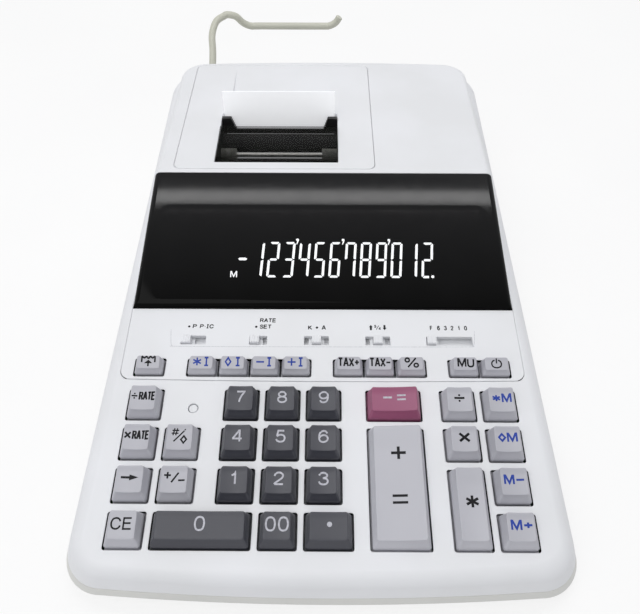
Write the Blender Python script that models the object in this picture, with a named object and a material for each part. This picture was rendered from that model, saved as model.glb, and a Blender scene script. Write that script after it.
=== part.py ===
"""Printing calculator: keyboard case, raised display and printer housing, sprung keys and a paper arm.

Lengths are in metres and +Z is up. The case is laid out in depth y from its front edge, and one empty
then centres the whole thing, paper arm included, on the origin. The keyboard lies on a tilted plane
with its own coordinates: x across, s up the slope and h square to it.
"""
import math

import bmesh
import bpy
from mathutils import Matrix, Vector

# Shared by all pieces
WALL = 0.0022
CLEARANCE = 0.0003
OVERRUN = 0.002
BEARING_GAP = 0.0003

# Keyboard plane
DECK_TILT = math.radians(8.0)
DECK_DATUM_Y = 0.0145
DECK_DATUM_Z = 0.028

# Main keys: a rib of the top case stands between neighbouring openings
KEY_PITCH = 0.019
KEY_SIDE_RIB = 0.0026
KEY_END_RIB = 0.0034
LEFT_BLOCK_GAP = 0.0066
ADD_COLUMN_GAP = 0.00865
ADD_KEY_WIDTH = 0.0257
POINT_KEY_EXTRA = 0.0046
KEY_GAP = 0.0005
KEY_TRAVEL = 0.003
KEY_FRONT_RISE = 0.0045
KEY_REAR_RISE = 0.0057
KEY_SKIRT_RISE = 0.0008
KEY_SIDE_SLOPE = 0.0015
KEY_FRONT_SLOPE = 0.0021
KEY_REAR_SLOPE = 0.0003
KEY_EDGE = 0.0006
KEY_EDGE_RISE = 0.0003
KEY_DISH_INSET = 0.0019
KEY_DISH_DEPTH = 0.0005
KEY_CORNER_ROUND = 0.0010
FLANGE_REACH = 0.0006
FLANGE_THICKNESS = 0.0012

# Function keys, in one row whose groups share an opening
FUNCTION_ROW_GAP = 0.0035
FUNCTION_GROUP_GAP = 0.0103
FUNCTION_LENGTH = 0.0096
FUNCTION_FRONT_RISE = 0.0032
FUNCTION_REAR_RISE = 0.0042

# Slide switches
SWITCH_ROW_GAP = 0.0105
SWITCH_STEP = 0.0035
SWITCH_SLOT_LENGTH = 0.0048
SWITCH_KNOB_WIDTH = 0.0045
SWITCH_KNOB_GAP = 0.00035
SWITCH_KNOB_RISE = 0.0020
SWITCH_PLATE_MARGIN = 0.0016
SWITCH_PLATE_THICKNESS = 0.0010
SWITCH_WELL_WALL = 0.0012
SWITCH_END_GAP = 0.0003

# Reset button, in the gap of the left block
RESET_COLUMN_INSET = 0.0116
RESET_ROW_INSET = 0.0062
RESET_RADIUS = 0.0020
RESET_GAP = 0.00035
RESET_SINK = 0.0004
RESET_FLANGE_REACH = 0.0012

# Case round the keyboard
CASE_SIDE_MARGIN = 0.021
CASE_FRONT_ROUND = 0.018
CASE_REAR_ROUND = 0.024
CASE_FRONT_BOW = 0.0032
CASE_REAR_BOW = 0.002
WIDEST_FRONT_Z = 0.0072
WIDEST_REAR_Z = 0.031
SIDE_DRAFT = 0.36
END_DRAFT = 0.10
DECK_EDGE_ROUND = 0.0052
TRAY_RISE = 0.0105
LIP_HEIGHT = 0.0025
LIP_THICKNESS = 0.0012
LIP_ROOT = 0.0005

# Bottom tray
FOOT_HEIGHT = 0.002
FOOT_RADIUS = 0.006
FOOT_SIDE_INSET = 0.036
FOOT_END_INSET = 0.0255
BASE_INSET = 0.0045
BASE_ROUND = 0.003

# Raised housing for the display and the printer
HOUSING_SIDE_MARGIN = 0.006
HOUSING_FRONT_MARGIN = 0.0021
HOUSING_REAR_MARGIN = 0.0055
HOUSING_REAR_RISE = 0.00435
HOUSING_FRONT_ROUND = 0.0045
HOUSING_FRONT_BOW = 0.0008
HOUSING_REAR_ROUND = 0.015
HOUSING_DRAFT = 0.15
HOUSING_EDGE_ROUND = 0.003
SEAM_GAP = 0.0003
LEDGE_WIDTH = 0.001
LEDGE_BAND = 0.0015
LEDGE_THICKNESS = 0.0015

# Display
DISPLAY_ROW_GAP = 0.0184
DISPLAY_LIP_RUN = 0.003
DISPLAY_LIP_RISE = 0.0037
DISPLAY_SLOPE_RUN = 0.0655
DISPLAY_SHOULDER_RUN = 0.0055
DISPLAY_SHOULDER_RISE = 0.0017
DISPLAY_CORE_SETBACK = 0.015
LIP_KNEE_SHARES = (0.33, 0.70)
SHOULDER_KNEE_SHARES = (0.5, 0.8)
WINDOW_THICKNESS = 0.003
WINDOW_REAR_LAND = 0.0028
SCREEN_LEFT_MARGIN = 0.036
SCREEN_RIGHT_MARGIN = 0.024
SCREEN_FRONT_U = 0.0128
SCREEN_LENGTH = 0.0322
SCREEN_BOARD_MARGIN = 0.001
SCREEN_BOARD_THICKNESS = 0.0016

# Paper, and the way that it takes
PAPER_WIDTH = 0.065
PAPER_THICKNESS = 0.0004
PAPER_STAND = 0.0173
PAPER_GAP = 0.0006
PAPER_BEND_RADIUS = 0.007
PAPER_BEND_DROP = 0.012
PAPER_TAIL = 0.006
INLET_HEIGHT = 0.0065
INLET_DROP = 0.012

# Printer cover, its window, and the ramp behind that
COVER_LEFT_MARGIN = 0.014
COVER_WIDTH = 0.1103
COVER_FRONT_MARGIN = 0.0005
COVER_REAR_MARGIN = 0.006
COVER_CORNER_ROUND = 0.004
COVER_LEDGE = 0.003
COVER_LEDGE_THICKNESS = 0.0018
PRINT_CENTRE_INSET = 0.056
PRINT_FRONT_MARGIN = 0.00565
PRINT_WINDOW_DEPTH = 0.048
PAPER_SIDE_GAP = 0.00175
RAMP_SIDE_INSET = 0.002
RAMP_DEPTH = 0.0036
RAMP_LENGTH = 0.052
RAMP_END_MARGIN = 0.004
PANE_THICKNESS = 0.0015
PANE_FRONT_SINK = 0.0016
PANE_REAR_RISE = 0.0010
PANE_LENGTH = 0.0318

# Printing mechanism
PLATEN_REAR_GAP = 0.011
PLATEN_DROP = 0.0135
PLATEN_RADIUS = 0.0055
PLATEN_JOURNAL_RADIUS = 0.002
PRINT_SHAFT_SPACING = 0.0115
PRINT_SHAFT_RADIUS = 0.0014
PRINT_COLLAR_RADIUS = 0.0038
PRINT_COLLAR_LENGTH = 0.009
FRAME_PLATE = 0.002
FRAME_FLOOR_GAP = 0.008
FRAME_FRONT_REACH = 0.0245
FRAME_REAR_REACH = 0.0135
FRAME_SIDE_DROP = 0.004
FRAME_FRONT_DROP = 0.010
FRAME_PAN_GAP = 0.0007
FRAME_POST_RADIUS = 0.003
GUIDE_THICKNESS = 0.0024
GUIDE_PLATEN_GAP = 0.0005
GUIDE_TOP_RISE = 0.0015
GUIDE_TOP_WIDTH = 0.0060
GUIDE_FOOT_WIDTH = 0.0086
GUIDE_SHOULDER_RISE = 0.0015

# Circuit board and key mat
MAT_THICKNESS = 0.001
MAT_MARGIN = 0.0010
DOME_BASE_RADIUS = 0.0042
DOME_TOP_RADIUS = 0.0024
DOME_HEIGHT = 0.0012
BOARD_THICKNESS = 0.0016
BOARD_FRONT_MARGIN = 0.003
POST_RADIUS = 0.0017
POST_PITCH_SHARES = (0.5, 2.0, 3.5)

# Case screws and the bosses that they draw together
BOSS_RADIUS = 0.0028
BOSS_SINK = 0.0007
BOSS_BOARD_GAP = 0.0007
BOSS_FRONT_Y = 0.0250
HOUSING_BOSS_SIDE_INSET = 0.0115
HOUSING_BOSS_FRONT_INSET = 0.0288
HOUSING_BOSS_REAR_INSET = 0.0235
SCREW_PAD_RADIUS = 0.0050
SCREW_PAD_HEIGHT = 0.003
SCREW_RADIUS = 0.0015
SCREW_LENGTH = 0.0100
SCREW_HEAD_RADIUS = 0.0031
SCREW_RECESS = 0.003
SCREW_HOLE_GAP = 0.0003

# Transformer, and the cable gland in the rear wall behind it
TRANSFORMER_SIDE_INSET = 0.034
TRANSFORMER_REAR_INSET = 0.0635
TRANSFORMER_WIDTH = 0.044
TRANSFORMER_DEPTH = 0.026
TRANSFORMER_HEIGHT = 0.038
TRANSFORMER_COIL_REACH = 0.008
TRANSFORMER_COIL_MARGIN = 0.0065
GLAND_Z = 0.0165
GLAND_RADIUS = 0.0062
GLAND_BORE = 0.0036
GLAND_REACH = 0.004

# Paper arm
ARM_WIRE_RADIUS = 0.0024
ARM_BEND_RADIUS = 0.006
ARM_HINGE_SETBACK = 0.0052
ARM_HINGE_DROP = 0.0255
ARM_AXLE_REACH = 0.0480
ARM_AXLE_RISE = 0.0208
ARM_STEM_GAP = 0.0195
ARM_AXLE_LEFT_INSET = 0.0055
ARM_AXLE_RIGHT_INSET = 0.0015
ARM_HUMP_RISE = 0.0095
ARM_TIP_RISE = 0.0068
ARM_TIP_RUN = 0.0060
ARM_STUB_LENGTH = 0.0170
EAR_THICKNESS = 0.004
EAR_SPACING = 0.0095
EAR_RADIUS = 0.0052

# Facets
CORNER_STEPS = 4
BOW_STEPS = 3
CROWN_STEPS = 4
HOUSING_EDGE_STEPS = 2
SLAB_CORNER_STEPS = 2
KEY_CORNER_STEPS = 1
ROUND_STEPS = 16
SMALL_ROUND_STEPS = 10
DOME_STEPS = 8
PAPER_STEPS = 5
ARM_STEPS = 3
ARM_BEVEL_STEPS = 3
SMOOTH_ANGLE = math.radians(40.0)
MERGE_DISTANCE = 0.000002

WHITE_PLASTIC = (0.80, 0.80, 0.82)
LIGHT_GREY = (0.52, 0.52, 0.56)
DARK_GREY = (0.10, 0.10, 0.115)
PINK = (0.38, 0.07, 0.20)

# Across the keyboard: each column is the left edge of its openings
KEY_WIDTH = KEY_PITCH - KEY_SIDE_RIB
KEY_LENGTH = KEY_PITCH - KEY_END_RIB
POINT_KEY_WIDTH = KEY_WIDTH + POINT_KEY_EXTRA
LEFT_BLOCK_WIDTH = 2 * KEY_PITCH + LEFT_BLOCK_GAP
NUMBER_BLOCK_WIDTH = 3 * KEY_PITCH + ADD_COLUMN_GAP
ADD_BLOCK_WIDTH = ADD_KEY_WIDTH + ADD_COLUMN_GAP
KEYBOARD_WIDTH = LEFT_BLOCK_WIDTH + NUMBER_BLOCK_WIDTH + ADD_BLOCK_WIDTH + KEY_PITCH + KEY_WIDTH
KEYBOARD_HALF = KEYBOARD_WIDTH / 2
COLUMNS = {"a": -KEYBOARD_HALF}
COLUMNS["b"] = COLUMNS["a"] + KEY_PITCH
COLUMNS["c"] = COLUMNS["a"] + LEFT_BLOCK_WIDTH
COLUMNS["d"] = COLUMNS["c"] + KEY_PITCH
COLUMNS["e"] = COLUMNS["d"] + KEY_PITCH
COLUMNS["f"] = COLUMNS["c"] + NUMBER_BLOCK_WIDTH
COLUMNS["g"] = COLUMNS["f"] + ADD_BLOCK_WIDTH
COLUMNS["h"] = COLUMNS["g"] + KEY_PITCH
ZERO_KEY_WIDTH = COLUMNS["c"] + KEY_WIDTH - COLUMNS["b"]
RESET_X = COLUMNS["b"] + RESET_COLUMN_INSET
CASE_WIDTH = KEYBOARD_WIDTH + 2 * CASE_SIDE_MARGIN
HALF_WIDTH = CASE_WIDTH / 2
HOUSING_WIDTH = KEYBOARD_WIDTH + 2 * HOUSING_SIDE_MARGIN
SCREEN_LEFT = -HOUSING_WIDTH / 2 + SCREEN_LEFT_MARGIN
SCREEN_RIGHT = HOUSING_WIDTH / 2 - SCREEN_RIGHT_MARGIN

# Up the keyboard plane, from the front edge of the first row
FUNCTION_ROW_S = 4 * KEY_PITCH + FUNCTION_ROW_GAP
FUNCTION_END_S = FUNCTION_ROW_S + FUNCTION_LENGTH
HOUSING_FRONT_S = FUNCTION_ROW_S - HOUSING_FRONT_MARGIN
SWITCH_S = FUNCTION_END_S + SWITCH_ROW_GAP
DISPLAY_FOOT_S = SWITCH_S + DISPLAY_ROW_GAP
RESET_S = 3 * KEY_PITCH + RESET_ROW_INSET

# Below the keyboard plane
FLANGE_TOP = -WALL - CLEARANCE
FLANGE_BOTTOM = FLANGE_TOP - FLANGE_THICKNESS
DOME_TOP = FLANGE_BOTTOM - KEY_TRAVEL - CLEARANCE
MAT_TOP = DOME_TOP - DOME_HEIGHT
MAT_BOTTOM = MAT_TOP - MAT_THICKNESS
BOARD_TOP = MAT_BOTTOM - CLEARANCE
BOARD_BOTTOM = BOARD_TOP - BOARD_THICKNESS
FLOOR_TOP = FOOT_HEIGHT + WALL
BOSS_FOOT = FLOOR_TOP + SCREW_PAD_HEIGHT + CLEARANCE

# Depth, from the front edge of the case to the arm
DECK = Matrix.Translation((0.0, DECK_DATUM_Y, DECK_DATUM_Z)) @ Matrix.Rotation(DECK_TILT, 4, "X")
HOUSING_FRONT_Y = (DECK @ Vector((0.0, HOUSING_FRONT_S, 0.0))).y
DISPLAY_FOOT = DECK @ Vector((0.0, DISPLAY_FOOT_S, 0.0))
SLOPE_Y = DISPLAY_FOOT.y + DISPLAY_LIP_RUN
SLOPE_END_Y = SLOPE_Y + DISPLAY_SLOPE_RUN
WINDOW_REAR_Y = SLOPE_END_Y + WINDOW_REAR_LAND
SHOULDER_Y = SLOPE_END_Y + DISPLAY_SHOULDER_RUN
COVER_FRONT_Y = SHOULDER_Y + COVER_FRONT_MARGIN
PRINT_WINDOW_FRONT = COVER_FRONT_Y + PRINT_FRONT_MARGIN
PRINT_WINDOW_REAR = PRINT_WINDOW_FRONT + PRINT_WINDOW_DEPTH
PLATEN_Y = PRINT_WINDOW_REAR - PLATEN_REAR_GAP
PAPER_Y = PLATEN_Y + PLATEN_RADIUS + PAPER_GAP
FRAME_FRONT_Y = PLATEN_Y - FRAME_FRONT_REACH
FRAME_REAR_Y = PLATEN_Y + FRAME_REAR_REACH
COVER_REAR_Y = PRINT_WINDOW_REAR + RAMP_LENGTH + RAMP_END_MARGIN
HOUSING_REAR_Y = COVER_REAR_Y + COVER_REAR_MARGIN
CASE_DEPTH = HOUSING_REAR_Y + HOUSING_REAR_MARGIN
ARM_HINGE_Y = CASE_DEPTH + ARM_HINGE_SETBACK
TOTAL_DEPTH = ARM_HINGE_Y + ARM_AXLE_REACH + ARM_WIRE_RADIUS

# Heights of the housing and of what hangs from its top
HOUSING_REAR_S = (HOUSING_REAR_Y - DECK_DATUM_Y) / math.cos(DECK_TILT)
HOUSING_TOP = (DECK @ Vector((0.0, HOUSING_REAR_S, 0.0))).z + HOUSING_REAR_RISE
SHOULDER_Z = HOUSING_TOP - DISPLAY_SHOULDER_RISE
SLOPE_Z = DISPLAY_FOOT.z + DISPLAY_LIP_RISE
SLOPE_ANGLE = math.atan2(SHOULDER_Z - SLOPE_Z, DISPLAY_SLOPE_RUN)
SLOPE = Matrix.Translation((0.0, SLOPE_Y, SLOPE_Z)) @ Matrix.Rotation(SLOPE_ANGLE, 4, "X")
SCREEN_REAR_U = SCREEN_FRONT_U + SCREEN_LENGTH
SCREEN_WALL_REACH = 2 * WALL
PLATEN_Z = HOUSING_TOP - PLATEN_DROP
GUIDE_FOOT_Z = PLATEN_Z + PLATEN_RADIUS + GUIDE_PLATEN_GAP
PAPER_BEND_Z = PLATEN_Z - PAPER_BEND_DROP
PAPER_TOP_Z = HOUSING_TOP + PAPER_STAND
FRAME_SIDE_TOP = HOUSING_TOP - FRAME_SIDE_DROP
FRAME_FRONT_TOP = PLATEN_Z - FRAME_FRONT_DROP
FRAME_REAR_TOP = HOUSING_TOP - RAMP_DEPTH - WALL - FRAME_PAN_GAP
FRAME_BASE_Z = PAPER_BEND_Z - PAPER_BEND_RADIUS - FRAME_FLOOR_GAP - FRAME_PLATE
INLET_Z = HOUSING_TOP - INLET_DROP - INLET_HEIGHT
ARM_HINGE_Z = HOUSING_TOP - ARM_HINGE_DROP

# Across the housing
COVER_LEFT = -HOUSING_WIDTH / 2 + COVER_LEFT_MARGIN
COVER_RIGHT = COVER_LEFT + COVER_WIDTH
PRINT_CENTRE_X = COVER_LEFT + PRINT_CENTRE_INSET
PAPER_LEFT = PRINT_CENTRE_X - PAPER_WIDTH / 2
PAPER_RIGHT = PRINT_CENTRE_X + PAPER_WIDTH / 2
PRINT_LEFT = PAPER_LEFT - PAPER_SIDE_GAP
PRINT_RIGHT = PAPER_RIGHT + PAPER_SIDE_GAP
FRAME_LEFT = PRINT_LEFT - CLEARANCE
FRAME_RIGHT = PRINT_RIGHT + CLEARANCE
ARM_STEM_X = PAPER_LEFT - ARM_STEM_GAP
ARM_AXLE_LEFT = PAPER_LEFT + ARM_AXLE_LEFT_INSET
ARM_AXLE_RIGHT = PAPER_RIGHT - ARM_AXLE_RIGHT_INSET
TRANSFORMER_X = HOUSING_WIDTH / 2 - TRANSFORMER_SIDE_INSET
TRANSFORMER_Y = HOUSING_REAR_Y - TRANSFORMER_REAR_INSET

# Name, column, row from the front, opening width, rows that it spans, colour
MAIN_KEYS = (
    ("key_clear_entry", "a", 0, KEY_WIDTH, 1, LIGHT_GREY),
    ("key_0", "b", 0, ZERO_KEY_WIDTH, 1, DARK_GREY),
    ("key_00", "d", 0, KEY_WIDTH, 1, DARK_GREY),
    ("key_point", "e", 0, POINT_KEY_WIDTH, 1, DARK_GREY),
    ("key_plus_equals", "f", 0, ADD_KEY_WIDTH, 3, LIGHT_GREY),
    ("key_total", "g", 0, KEY_WIDTH, 2, LIGHT_GREY),
    ("key_memory_plus", "h", 0, KEY_WIDTH, 1, LIGHT_GREY),
    ("key_backspace", "a", 1, KEY_WIDTH, 1, LIGHT_GREY),
    ("key_sign", "b", 1, KEY_WIDTH, 1, LIGHT_GREY),
    ("key_1", "c", 1, KEY_WIDTH, 1, DARK_GREY),
    ("key_2", "d", 1, KEY_WIDTH, 1, DARK_GREY),
    ("key_3", "e", 1, KEY_WIDTH, 1, DARK_GREY),
    ("key_memory_minus", "h", 1, KEY_WIDTH, 1, LIGHT_GREY),
    ("key_times_rate", "a", 2, KEY_WIDTH, 1, LIGHT_GREY),
    ("key_nonadd", "b", 2, KEY_WIDTH, 1, LIGHT_GREY),
    ("key_4", "c", 2, KEY_WIDTH, 1, DARK_GREY),
    ("key_5", "d", 2, KEY_WIDTH, 1, DARK_GREY),
    ("key_6", "e", 2, KEY_WIDTH, 1, DARK_GREY),
    ("key_multiply", "g", 2, KEY_WIDTH, 1, LIGHT_GREY),
    ("key_memory_subtotal", "h", 2, KEY_WIDTH, 1, LIGHT_GREY),
    ("key_divide_rate", "a", 3, KEY_WIDTH, 1, LIGHT_GREY),
    ("key_7", "c", 3, KEY_WIDTH, 1, DARK_GREY),
    ("key_8", "d", 3, KEY_WIDTH, 1, DARK_GREY),
    ("key_9", "e", 3, KEY_WIDTH, 1, DARK_GREY),
    ("key_minus_equals", "f", 3, ADD_KEY_WIDTH, 1, PINK),
    ("key_divide", "g", 3, KEY_WIDTH, 1, LIGHT_GREY),
    ("key_memory_total", "h", 3, KEY_WIDTH, 1, LIGHT_GREY),
)

# Groups of function keys from left to right. Each group has one opening
FUNCTION_GROUPS = (
    ("key_paper_feed",),
    ("key_item_total", "key_item_subtotal", "key_item_minus", "key_item_plus"),
    ("key_tax_plus", "key_tax_minus", "key_percent"),
    ("key_markup", "key_power"),
)

# Name, left end of the slot as a share of half the keyboard, positions, position at rest
SWITCH_SHARES = (
    ("switch_print", -0.771, 3, 0),
    ("switch_rate", -0.398, 2, 0),
    ("switch_mode", -0.099, 3, 1),
    ("switch_rounding", 0.236, 3, 1),
    ("switch_decimal", 0.568, 6, 0),
)

# The wire from its stub to the start of its tip. Each point has an anchor across the width and shares
# of the bend radius in x; of the bend radius and the reach in y; of the bend radius, the axle's rise
# and the hump's rise in z.
ARM_ROUTE_SHARES = (
    ("stem", 0.90, 0.00, 0.000, 0.00, 0.00, 0.00),
    ("stem", 0.20, 0.25, 0.000, 0.22, 0.00, 0.00),
    ("stem", 0.00, 1.00, 0.000, 0.85, 0.00, 0.00),
    ("stem", 0.00, 0.00, 0.400, 0.00, 0.78, 0.00),
    ("stem", -0.12, 0.00, 0.600, 0.00, 1.12, 0.00),
    ("stem", 0.25, 0.00, 0.800, 0.00, 0.93, 0.93),
    ("hump", -0.45, 0.00, 0.910, 0.00, 0.99, 0.99),
    ("hump", 0.00, 0.00, 0.940, 0.00, 1.00, 1.00),
    ("hump", 0.90, 0.00, 0.960, 0.00, 1.00, 0.82),
    ("left", -0.90, 0.00, 0.985, 0.00, 1.00, 0.28),
    ("left", 0.00, 0.00, 1.000, 0.00, 1.00, 0.00),
    ("left", 1.20, 0.00, 1.000, 0.00, 1.00, 0.00),
    ("right", -1.20, 0.00, 1.000, 0.00, 1.00, 0.00),
)
ARM_TIP_SHARES = ((-0.20, 0.05), (0.55, 0.40), (1.00, 1.00))


class Outline:
    """Plan outline that is the same left and right, with rounded corners and bowed ends."""

    def __init__(self, half_width, front, rear, front_round, rear_round,
                 front_bow=0.0, rear_bow=0.0, stations=()):
        self.half_width = half_width
        self.front = front
        self.rear = rear
        self.front_round = front_round
        self.rear_round = rear_round
        self.front_bow = front_bow
        self.rear_bow = rear_bow
        self.stations = stations

    def half(self):
        """Points of the right-hand side, from the front centre to the rear centre."""
        front_flat = self.half_width - self.front_round
        rear_flat = self.half_width - self.rear_round
        front_base = self.front + self.front_bow + self.front_round
        rear_base = self.rear - self.rear_bow - self.rear_round
        points = []
        for i in range(BOW_STEPS):
            share = i / BOW_STEPS
            points.append((front_flat * share, self.front + self.front_bow * share ** 2))
        for i in range(CORNER_STEPS + 1):
            turn = math.pi / 2 * i / CORNER_STEPS
            points.append((front_flat + self.front_round * math.sin(turn),
                           front_base - self.front_round * math.cos(turn)))
        for station in self.stations:
            points.append((self.half_width, station))
        for i in range(CORNER_STEPS + 1):
            turn = math.pi / 2 * i / CORNER_STEPS
            points.append((rear_flat + self.rear_round * math.cos(turn),
                           rear_base + self.rear_round * math.sin(turn)))
        for i in range(BOW_STEPS):
            share = 1 - (i + 1) / BOW_STEPS
            points.append((rear_flat * share, self.rear - self.rear_bow * share ** 2))
        return points

    def end_weight(self, y):
        """-1 at the front edge, 0 along the sides and 1 at the rear edge."""
        front_base = self.front + self.front_bow + self.front_round
        rear_base = self.rear - self.rear_bow - self.rear_round
        if y < front_base:
            return -min(1.0, (front_base - y) / self.front_round)
        if y > rear_base:
            return min(1.0, (y - rear_base) / self.rear_round)
        return 0.0

    def inset(self, x, y, side, end):
        """A point moved in by `side` across the width and by `end` at the front and rear."""
        return x * (1 - side / self.half_width), y - end * self.end_weight(y)


def deck_height(y):
    return DECK_DATUM_Z + (y - DECK_DATUM_Y) * math.tan(DECK_TILT)


def widest_height(y):
    return WIDEST_FRONT_Z + (WIDEST_REAR_Z - WIDEST_FRONT_Z) * y / CASE_DEPTH


def profile(points, y):
    """Height at depth y on a line through (y, z) points, level past its ends."""
    if y <= points[0][0]:
        return points[0][1]
    for (y0, z0), (y1, z1) in zip(points, points[1:]):
        if y <= y1:
            return z0 + (z1 - z0) * (y - y0) / (y1 - y0)
    return points[-1][1]


def loft(bm, halves, strip_top=False):
    """Closed body through rings that are each given by their right-hand half."""
    rings = []
    for half in halves:
        left = [Vector((-p.x, p.y, p.z)) for p in reversed(half[1:-1])]
        rings.append([bm.verts.new(p) for p in half + left])
    count = len(rings[0])
    for lower, upper in zip(rings, rings[1:]):
        for i in range(count):
            j = (i + 1) % count
            bm.faces.new((lower[i], lower[j], upper[j], upper[i]))
    bm.faces.new(list(reversed(rings[0])))
    top = rings[-1]
    if strip_top:
        last = len(halves[0]) - 1
        for i in range(last):
            corners = [top[i], top[i + 1], top[(count - i - 1) % count], top[(count - i) % count]]
            unique = []
            for corner in corners:
                if corner not in unique:
                    unique.append(corner)
            bm.faces.new(unique)
    else:
        bm.faces.new(top)
    bmesh.ops.remove_doubles(bm, verts=bm.verts, dist=MERGE_DISTANCE)
    bmesh.ops.dissolve_degenerate(bm, edges=bm.edges, dist=MERGE_DISTANCE)


def slab(bm, x, y, z, radius=0.0, matrix=Matrix()):
    """Box, or a block with rounded upright corners; x, y and z are (low, high) pairs."""
    corners = ((x[1], y[0], -90.0), (x[1], y[1], 0.0), (x[0], y[1], 90.0), (x[0], y[0], 180.0))
    plan = []
    for corner_x, corner_y, start in corners:
        if radius == 0.0:
            plan.append((corner_x, corner_y))
            continue
        centre_x = corner_x - math.copysign(radius, corner_x - (x[0] + x[1]) / 2)
        centre_y = corner_y - math.copysign(radius, corner_y - (y[0] + y[1]) / 2)
        for i in range(SLAB_CORNER_STEPS + 1):
            turn = math.radians(start + 90.0 * i / SLAB_CORNER_STEPS)
            plan.append((centre_x + radius * math.cos(turn), centre_y + radius * math.sin(turn)))
    lower = [bm.verts.new(matrix @ Vector((px, py, z[0]))) for px, py in plan]
    upper = [bm.verts.new(matrix @ Vector((px, py, z[1]))) for px, py in plan]
    count = len(plan)
    for i in range(count):
        j = (i + 1) % count
        bm.faces.new((lower[i], lower[j], upper[j], upper[i]))
    bm.faces.new(list(reversed(lower)))
    bm.faces.new(upper)


def prism(bm, section, low, high, axis="X"):
    """Body with a flat outline pushed along X from (y, z) points, or along Y from (x, z) points."""
    def place(a, b, along):
        return Vector((along, a, b)) if axis == "X" else Vector((a, along, b))

    near = [bm.verts.new(place(a, b, low)) for a, b in section]
    far = [bm.verts.new(place(a, b, high)) for a, b in section]
    count = len(section)
    for i in range(count):
        j = (i + 1) % count
        bm.faces.new((near[i], near[j], far[j], far[i]))
    bm.faces.new(list(reversed(near)))
    bm.faces.new(far)
    bmesh.ops.recalc_face_normals(bm, faces=bm.faces)


def turned(bm, profile_points, matrix, steps=ROUND_STEPS):
    """Closed body of revolution about the local Z axis, from (radius, height) points, bottom to top."""
    rings = []
    for radius, height in profile_points:
        ring = []
        for i in range(steps):
            turn = 2 * math.pi * (i + 0.5) / steps
            ring.append(bm.verts.new(matrix @ Vector((radius * math.cos(turn),
                                                      radius * math.sin(turn), height))))
        rings.append(ring)
    for lower, upper in zip(rings, rings[1:]):
        for i in range(steps):
            j = (i + 1) % steps
            bm.faces.new((lower[i], lower[j], upper[j], upper[i]))
    bm.faces.new(list(reversed(rings[0])))
    bm.faces.new(rings[-1])


def upright(x, y):
    return Matrix.Translation((x, y, 0.0))


def across(y, z):
    """Frame whose Z axis runs along +X at the given depth and height."""
    return Matrix.Translation((0.0, y, z)) @ Matrix.Rotation(math.pi / 2, 4, "Y")


def finish(name, colour, roughness, metallic=0.0):
    material = bpy.data.materials.new(name)
    material.use_nodes = True
    shader = material.node_tree.nodes["Principled BSDF"]
    shader.inputs["Base Color"].default_value = (*colour, 1.0)
    shader.inputs["Roughness"].default_value = roughness
    shader.inputs["Metallic"].default_value = metallic
    material.diffuse_color = (*colour, 1.0)
    return material


def add_object(name, bm, parent, origin=(0.0, 0.0, 0.0), smooth=False):
    """Object from a mesh laid out in the parent's frame, with its own origin at `origin`."""
    bmesh.ops.translate(bm, verts=bm.verts, vec=-Vector(origin))
    mesh = bpy.data.meshes.new(name)
    bm.to_mesh(mesh)
    bm.free()
    if smooth:
        mesh.shade_smooth()
        mesh.set_sharp_from_angle(angle=SMOOTH_ANGLE)
    piece = bpy.data.objects.new(name, mesh)
    bpy.context.scene.collection.objects.link(piece)
    piece.parent = parent
    piece.location = origin
    return piece


def add_piece(name, bm, parent, colour, roughness=0.45, metallic=0.0, origin=(0.0, 0.0, 0.0),
              smooth=False):
    piece = add_object(name, bm, parent, origin, smooth)
    piece.data.materials.append(finish(name, colour, roughness, metallic))
    return piece


def combine(piece, bm, operation, label, solver="EXACT"):
    """Join to a piece, or cut from it, a hidden body that stays editable."""
    tool = add_object(piece.name + "_" + label, bm, piece.parent)
    tool.hide_render = True
    tool.display_type = "WIRE"
    modifier = piece.modifiers.new(label, "BOOLEAN")
    modifier.operation = operation
    modifier.solver = solver
    modifier.object = tool
    return tool


def case_outline():
    return Outline(HALF_WIDTH, 0.0, CASE_DEPTH, CASE_FRONT_ROUND, CASE_REAR_ROUND,
                   CASE_FRONT_BOW, CASE_REAR_BOW)


def case_ring(outline, inset, rise):
    """Ring at a height above the widest line, following the draft of the walls."""
    ring = []
    for x, y in outline.half():
        px, py = outline.inset(x, y, inset + SIDE_DRAFT * rise, inset + END_DRAFT * rise)
        ring.append(Vector((px, py, widest_height(py) + rise)))
    return ring


def case_crown(outline, inset, drop, rounding, turn):
    """Ring on the rounded edge between the walls and the keyboard plane."""
    extra = rounding * (1 - math.cos(turn))
    ring = []
    for x, y in outline.half():
        rise = deck_height(y) - drop - widest_height(y) - rounding * (1 - math.sin(turn))
        px, py = outline.inset(x, y, inset + extra + SIDE_DRAFT * rise, inset + extra + END_DRAFT * rise)
        ring.append(Vector((px, py, deck_height(py) - drop - rounding * (1 - math.sin(turn)))))
    return ring


def case_form(bm, inset, drop, rounding, foot):
    """Solid from a height above the widest line up to the keyboard plane."""
    outline = case_outline()
    rings = [case_ring(outline, inset, foot)]
    for i in range(CROWN_STEPS + 1):
        rings.append(case_crown(outline, inset, drop, rounding, math.pi / 2 * i / CROWN_STEPS))
    loft(bm, rings)


def housing_profile():
    """Side view of the raised housing, from the keyboard plane over the display to the top."""
    lip_run, lip_rise = LIP_KNEE_SHARES
    shoulder_run, shoulder_rise = SHOULDER_KNEE_SHARES
    return (
        (HOUSING_FRONT_Y, deck_height(HOUSING_FRONT_Y)),
        (DISPLAY_FOOT.y, DISPLAY_FOOT.z),
        (DISPLAY_FOOT.y + DISPLAY_LIP_RUN * lip_run, DISPLAY_FOOT.z + DISPLAY_LIP_RISE * lip_rise),
        (SLOPE_Y, SLOPE_Z),
        (SLOPE_END_Y, SHOULDER_Z),
        (SLOPE_END_Y + DISPLAY_SHOULDER_RUN * shoulder_run,
         SHOULDER_Z + DISPLAY_SHOULDER_RISE * shoulder_rise),
        (SHOULDER_Y, HOUSING_TOP),
    )


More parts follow.
